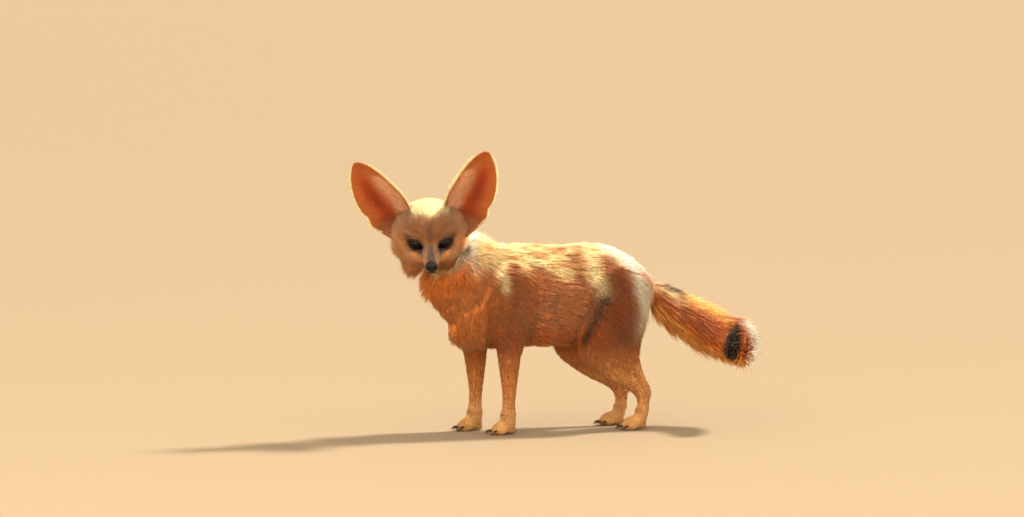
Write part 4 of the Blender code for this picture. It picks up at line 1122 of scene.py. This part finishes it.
def ear_hair(side, rows_, across, spread_, long_, rise_, out_, colour, count, seed):
    """Root points and lies for long hair set in a strip of the cup, from its base to its tip."""
    pick = np.random.default_rng(seed)
    z = pick.uniform(*rows_, count)
    a = np.clip(across + pick.normal(0, spread_, count), 0.004, 0.996)
    inner, outer, deep = (np.interp(z, ear_rows[:, 0], ear_rows[:, k]) for k in (1, 2, 3))
    here, there = (np.stack([0.004 - deep * (1 - (2 * a_ - 1) ** 2), inner + (outer - inner) * a_, z], axis=1)
                   for a_ in (a, np.clip(a + 0.05, 0, 1.05)))
    over = unit(there - here)
    face = unit(np.cross(over, np.tile([0.0, 0.0, 1.0], (count, 1))))
    turn = np.array(ear_frame(side).to_3x3())
    shift = np.array(ear_frame(side).translation)
    way = unit(over * out_[0] + np.array([0.0, 0.0, 1.0]) * out_[1])
    root = (here + face * EAR_WALL * 0.4) @ turn.T + shift
    tint = np.tile(colour, (count, 1)) * pick.normal(1.0, 0.07, (count, 1))
    return {"root": root, "normal": unit(face @ turn.T), "lie": unit(way @ turn.T),
            "length": np.interp(z, rows_, long_) * pick.uniform(0.8, 1.15, count), "colour": tint,
            "stand": np.ones(count)}


for side, word in ((1, "left"), (-1, "right")):
    part = {key: value[side_of == side] for key, value in ear_roots.items()}
    tufts(f"coat_ear_{word}", part, 0.00042, 0.20, 0.2, (0.0,), ear_fur, Z_AXIS,
          sway=0.12, sink=0.0002, clump=0.003, pull=0.2, mottle=0.12)
    inside = ear_hair(side, (0.004, 0.058), 0.13, 0.06, (0.019, 0.008), 0.3, (0.62, 0.78), EAR_PALE * 1.05,
                      int(2600 * THIN), 61 + side)
    tufts(f"coat_ear_inside_{word}", inside, 0.00050, 0.34, 0.55, (0.0, 0.4), ear_fur, Z_AXIS,
          sway=0.16, sink=0.0002, clump=0.004, pull=0.5, root_dark=0.7, tip_light=1.2)
    edge_in = ear_hair(side, (0.000, 0.074), 0.008, 0.006, (0.0115, 0.0045), 0.0, (-0.52, 0.85), CREAM,
                       int(2000 * THIN), 71 + side)
    edge_out = ear_hair(side, (0.000, 0.080), 0.992, 0.006, (0.0050, 0.0030), 0.0, (0.60, 0.80), CREAM * 0.9,
                        int(1500 * THIN), 81 + side)
    fringe = {key: np.concatenate([edge_in[key], edge_out[key]]) for key in edge_in}
    tufts(f"coat_ear_fringe_{word}", fringe, 0.00045, 0.05, 0.2, (0.0, 0.45), ear_fur, Z_AXIS,
          sway=0.14, sink=0.0002, clump=0.003, pull=0.3, root_dark=0.8, tip_light=1.15)

# Brush
# The tail's guard hair is up to 38 mm long, rooted in the dense core and sweeping to the tip.
# Each ring of a tuft takes the colour of its own place, so the marks stay put along the hair.
tail_fur = fur_material("tail_coat", 300.0, 0.6, 0.35)
tail_roots = roots(face_region_of == NAMES["tail"], int(11000 * THIN))
tufts("coat_tail", tail_roots, 0.0016, 0.52, 0.25, (0.0, 0.3, 0.65), tail_fur, X_AXIS,
      sway=0.16, sink=0.001, clump=0.009, pull=0.5, root_dark=0.75, mottle=0.16,
      paint=lambda where: markings(where, np.full(len(where), NAMES["tail"])))


# Eyes
# Large, dark, wet eyes: each a globe with a slightly raised front, a dark brown iris and a round
# black pupil, set behind the almond opening of its lids.
def eyeball(word, side):
    bpy.ops.mesh.primitive_uv_sphere_add(segments=64, ring_count=48, radius=EYE_RADIUS)
    obj = bpy.context.object
    obj.name = f"eyeball_{word}"
    finished(obj, "SUBSURF", levels=1, render_levels=1)
    place_ = points_of(obj)
    turned = np.stack([place_[:, 2], place_[:, 1], -place_[:, 0]], axis=1)
    reach_ = np.linalg.norm(turned[:, 1:], axis=1)
    front = turned[:, 0] > 0
    turned[:, 0] += np.where(front, 0.0006 * (1 - smoothstep(0.0, 0.0052, reach_)), 0)
    iris = mixed(np.tile(rgb(14, 7, 5), (len(turned), 1)), rgb(36, 18, 8), spot(reach_, 0.0044, 0.0009))
    iris = mixed(iris, rgb(6, 5, 5), smoothstep(0.0032, 0.0028, reach_))
    iris = mixed(iris, rgb(20, 12, 9), smoothstep(0.0054, 0.0060, reach_))
    set_points(obj, turned)
    set_colour(obj, iris)
    obj.data.transform(eye_frame(side))
    material, tree, shader = shaded(f"eye_{word}", {
        "Roughness": 0.10, "Specular IOR Level": 0.12, "Coat Weight": 0.08, "Coat Roughness": 0.02})
    tree.links.new(coat_attribute(tree).outputs["Color"], shader.inputs["Base Color"])
    obj.data.materials.append(material)
    only(obj)
    bpy.ops.object.shade_smooth()
    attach(obj, "root")
    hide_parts(f"eye_{word}")
    return obj


for word, side in (("left", 1), ("right", -1)):
    eyeball(word, side)


# Lid rims
# Dark, naked rims edge the lids and make a fox's eyes look larger and more slanted than they are.
# Each is a thin closed roll of skin that lies on the globe round the opening.
def rim(word, side):
    across, lift = almond(side, 0.0006, 40)
    bpy.ops.curve.primitive_nurbs_path_add()
    obj = bpy.context.object
    obj.name = f"lid_rim_{word}"
    obj.data.splines.clear()
    line = obj.data.splines.new("POLY")
    line.points.add(len(across) - 1)
    line.use_cyclic_u = True
    for spot_, y_, z_ in zip(line.points, across, lift):
        out_ = math.sqrt(max((EYE_RADIUS + 0.0007) ** 2 - y_**2 - z_**2, 0.0))
        place_ = eye_frame(side) @ Vector((out_, y_, z_))
        spot_.co = (*place_, 1.0)
    obj.data.bevel_depth = 0.00120
    obj.data.bevel_resolution = 4
    only(obj)
    bpy.ops.object.convert(target="MESH")
    bpy.ops.object.shade_smooth()
    obj.data.materials.append(LEATHER)
    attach(obj, "root")


def leather_material(name, colour, scale, roughness):
    """Dark, moist, naked skin with fine bumps."""
    material, tree, shader = shaded(name, {
        "Roughness": roughness, "Specular IOR Level": 0.3, "Coat Weight": 0.08, "Coat Roughness": 0.25})
    where = tree.nodes.new("ShaderNodeTexCoord")
    cells = tree.nodes.new("ShaderNodeTexVoronoi")
    cells.inputs["Scale"].default_value = scale
    ramp = tree.nodes.new("ShaderNodeValToRGB")
    ramp.color_ramp.elements[0].color = (*(colour * 0.55), 1.0)
    ramp.color_ramp.elements[1].color = (*(colour * 1.5), 1.0)
    relief = tree.nodes.new("ShaderNodeBump")
    relief.inputs["Strength"].default_value = 0.35
    relief.inputs["Distance"].default_value = 0.0004
    tree.links.new(where.outputs["Object"], cells.inputs["Vector"])
    tree.links.new(cells.outputs["Distance"], ramp.inputs["Fac"])
    tree.links.new(ramp.outputs["Color"], shader.inputs["Base Color"])
    tree.links.new(cells.outputs["Distance"], relief.inputs["Height"])
    tree.links.new(relief.outputs["Normal"], shader.inputs["Normal"])
    return material


LEATHER = leather_material("dark_leather", rgb(34, 20, 16), 1600.0, 0.6)
for word, side in (("left", 1), ("right", -1)):
    rim(word, side)


# Nose pad
# A naked, heart-shaped pad of moist leather at the muzzle's end, with comma-shaped nostrils cut
# into it and a cleft down its middle.
def nose_pad():
    centre = Matrix.Translation((0.0362, 0.0, -0.0116))
    obj = ball((0, 0, 0), (0.0052, 0.0070, 0.0070), HEAD @ centre)
    only(obj)
    bpy.ops.object.transform_apply(location=True, rotation=True, scale=True)
    local = in_frame(points_of(obj), HEAD @ centre)
    narrow = 1 - 0.38 * smoothstep(0.001, -0.006, local[:, 2])
    local[:, 1] *= narrow
    local[:, 2] += 0.0007 * np.cos(local[:, 1] / 0.0066 * math.pi) * (local[:, 2] > 0) * -1
    local[:, 0] -= 0.0007 * np.exp(-(local[:, 1] / 0.0007) ** 2) * (local[:, 0] > 0)
    turned = local @ np.array((HEAD @ centre).to_3x3()).T + np.array((HEAD @ centre).translation)
    set_points(obj, turned)
    for side in (-1, 1):
        turn = (Matrix.Rotation(side * math.radians(34), 4, "Z")
                @ Matrix.Rotation(side * math.radians(-24), 4, "X"))
        hole = ball((0, 0, 0), (0.0030, 0.00155, 0.00115),
                    HEAD @ Matrix.Translation((0.0405, side * 0.0030, -0.0112)) @ turn)
        slit = ball((0, 0, 0), (0.0022, 0.0021, 0.0006),
                    HEAD @ Matrix.Translation((0.0395, side * 0.0050, -0.0126))
                    @ Matrix.Rotation(side * math.radians(24), 4, "X"))
        for cutter in (hole, slit):
            finished(obj, "BOOLEAN", operation="DIFFERENCE", solver="EXACT", object=cutter)
            bpy.data.objects.remove(cutter, do_unlink=True)
    obj.name = "nose_pad"
    only(obj)
    bpy.ops.object.shade_smooth_by_angle(angle=math.radians(50))
    obj.data.materials.clear()
    obj.data.materials.append(leather_material("nose_skin", rgb(20, 8, 6), 1300.0, 0.55))
    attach(obj, "root")
    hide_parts("nose")


nose_pad()


# Mouth line
# A thin dark lip runs down from the nose and back along each side of the jaw. It is a fine roll
# of naked skin, laid on the skin of the muzzle.
skin_tree = BVHTree.FromPolygons(place.tolist(), faces.tolist())


def on_skin(local, proud):
    """The skin's own point nearest to a point of the head's frame, lifted a little."""
    hit, hit_normal, _, _ = skin_tree.find_nearest(HEAD @ Vector(local))
    return hit + hit_normal * proud


def thin_tube(name, points, radii, material):
    obj = tube(points, radii)
    obj.name = name
    only(obj)
    bpy.ops.object.shade_smooth()
    obj.data.materials.clear()
    obj.data.materials.append(material)
    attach(obj, "root")
    return obj


for side, word in ((1, "left"), (-1, "right")):
    steps_ = np.linspace(0, 1, 14)
    line = [on_skin((0.0375 - 0.017 * t, side * 0.0085 * t**0.8, -0.0180 - 0.0030 * t), 0.0011)
            for t in steps_]
    thin_tube(f"lip_{word}", line, [0.0007 * (1 - 0.6 * t) for t in steps_], LEATHER)
thin_tube("philtrum", [on_skin((0.0390, 0.0, -0.0155 - 0.0030 * t), 0.0010) for t in np.linspace(0, 1, 4)],
          [0.0006] * 4, LEATHER)


# Whiskers
# Fine dark whiskers stand in three rows of four on each side of the muzzle and sweep back. Each
# is one stiff tapered hair, rooted in the skin.
whisker_material = leather_material("whisker_horn", rgb(40, 26, 20), 300.0, 0.5)
whiskers = []
for side in (1, -1):
    for row_ in range(3):
        for step in range(4):
            t = step / 3
            start = on_skin((0.0300 - 0.0105 * t, side * (0.0072 + 0.0045 * t), -0.0125 - 0.0022 * row_), 0.0)
            out_dir = Vector((-0.35 - 0.25 * t, side * 1.0, -0.10 - 0.20 * row_)).normalized()
            bend = Vector((-1.0, side * 0.25, -0.25)).normalized()
            reach_ = 0.017 + 0.010 * t + 0.002 * row_
            steps_ = np.linspace(0, 1, 7)
            turn = HEAD.to_3x3()
            line = [start + turn @ (out_dir * (reach_ * k) + bend * (reach_ * 0.45 * k * k)) for k in steps_]
            whiskers.append(tube(line, [0.00019 * (1 - 0.75 * k) for k in steps_]))
whiskers = joined("whiskers", whiskers)
whiskers.data.materials.clear()
whiskers.data.materials.append(whisker_material)
only(whiskers)
bpy.ops.object.shade_smooth()
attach(whiskers, "root")


# Claws
# Each toe ends in a short, curved claw of dark horn that just shows beyond the fur. Four stand
# on each foot, set in the ends of the toes.
TOES = ((-0.0080, 0.0105), (-0.0030, 0.0150), (0.0030, 0.0150), (0.0080, 0.0105))
PAWS = ((-0.072, -0.026, -1), (-0.093, 0.026, 1), (0.0835, -0.027, -1), (0.0775, 0.027, 1))
claw_material = leather_material("claw_horn", rgb(62, 44, 34), 500.0, 0.35)
claws = []
for px_, py_, side in PAWS:
    for across_, ahead_ in TOES:
        start = Vector((px_ - ahead_ - 0.0046, py_ + across_, 0.0048)) + Vector((SHIFT.x, SHIFT.y, 0))
        steps_ = np.linspace(0, 1, 7)
        line = [start + Vector((-0.0072 * k, 0.0, 0.0006 * math.sin(k * 3) - 0.0034 * k * k)) for k in steps_]
        claws.append(tube(line, [0.00125 * (1 - 0.85 * k**1.5) for k in steps_]))
claws = joined("claws", claws)
claws.data.materials.clear()
claws.data.materials.append(claw_material)
only(claws)
bpy.ops.object.shade_smooth()
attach(claws, "root")


# Stage, light and camera
# A plain pale floor and soft light, warm and strongest from above and behind, seen from the
# photograph's own angle through a long lens.
CAMERA_AZIMUTH = math.radians(-20.0)
CAMERA_ELEVATION = math.radians(5.0)
LENS, SENSOR = 300.0, 36.0
PIXEL = 0.00112
PHOTO = (1024, 517)
BODY_PIXEL = (560, 430)
along_view = Vector((math.cos(CAMERA_AZIMUTH), math.sin(CAMERA_AZIMUTH), 0))
view_back = Vector((math.sin(CAMERA_AZIMUTH) * math.cos(CAMERA_ELEVATION),
                    -math.cos(CAMERA_AZIMUTH) * math.cos(CAMERA_ELEVATION), math.sin(CAMERA_ELEVATION)))
distance = PHOTO[0] * PIXEL * LENS / SENSOR
aim = along_view * ((PHOTO[0] / 2 - BODY_PIXEL[0]) * PIXEL)
aim += Vector((0, 0, (BODY_PIXEL[1] - PHOTO[1] / 2) * PIXEL / math.cos(CAMERA_ELEVATION)))
aim += SHIFT
camera_data = bpy.data.cameras.new("photo_camera")
camera_data.lens, camera_data.sensor_width = LENS, SENSOR
camera_data.clip_end = 100.0
camera = bpy.data.objects.new("photo_camera", camera_data)
bpy.context.scene.collection.objects.link(camera)
camera.location = aim + view_back * distance
camera.rotation_euler = view_back.to_track_quat("Z", "Y").to_euler()
bpy.context.scene.camera = camera

bpy.ops.object.select_all(action="DESELECT")
bpy.ops.mesh.primitive_plane_add(size=60.0)
floor = bpy.context.object
floor.name = "floor"
floor.data.materials.append(shaded("pale_floor", {
    "Base Color": (0.27, 0.195, 0.115, 1.0), "Roughness": 0.9})[0])

world = bpy.data.worlds.new("studio")
bpy.context.scene.world = world
world.use_nodes = True
world.node_tree.nodes["Background"].inputs["Color"].default_value = (1.0, 0.88, 0.70, 1.0)
world.node_tree.nodes["Background"].inputs["Strength"].default_value = 1.15
target = Vector((0, 0, 0.14))
for name, kind, azimuth, elevation, reach, size, power, colour in (
    ("key", "SUN", 103.0, 50.0, 3.0, math.radians(9.0), 6.6, (1.0, 0.92, 0.78)),
    ("fill", "AREA", -40.0, 30.0, 3.0, 2.4, 50.0, (1.0, 0.87, 0.72)),
    ("side", "AREA", 40.0, 35.0, 3.0, 2.0, 12.0, (1.0, 0.90, 0.78)),
):
    a, e = math.radians(azimuth), math.radians(elevation)
    way = Vector((math.sin(a) * math.cos(e), -math.cos(a) * math.cos(e), math.sin(e)))
    lamp_data = bpy.data.lights.new(name, kind)
    if kind == "SUN":
        lamp_data.angle = size
    else:
        lamp_data.size = size
    lamp_data.energy, lamp_data.color = power, colour
    lamp = bpy.data.objects.new(name, lamp_data)
    bpy.context.scene.collection.objects.link(lamp)
    lamp.location = target + way * reach
    lamp.rotation_euler = way.to_track_quat("Z", "Y").to_euler()
bpy.context.scene.view_settings.view_transform = "Standard"
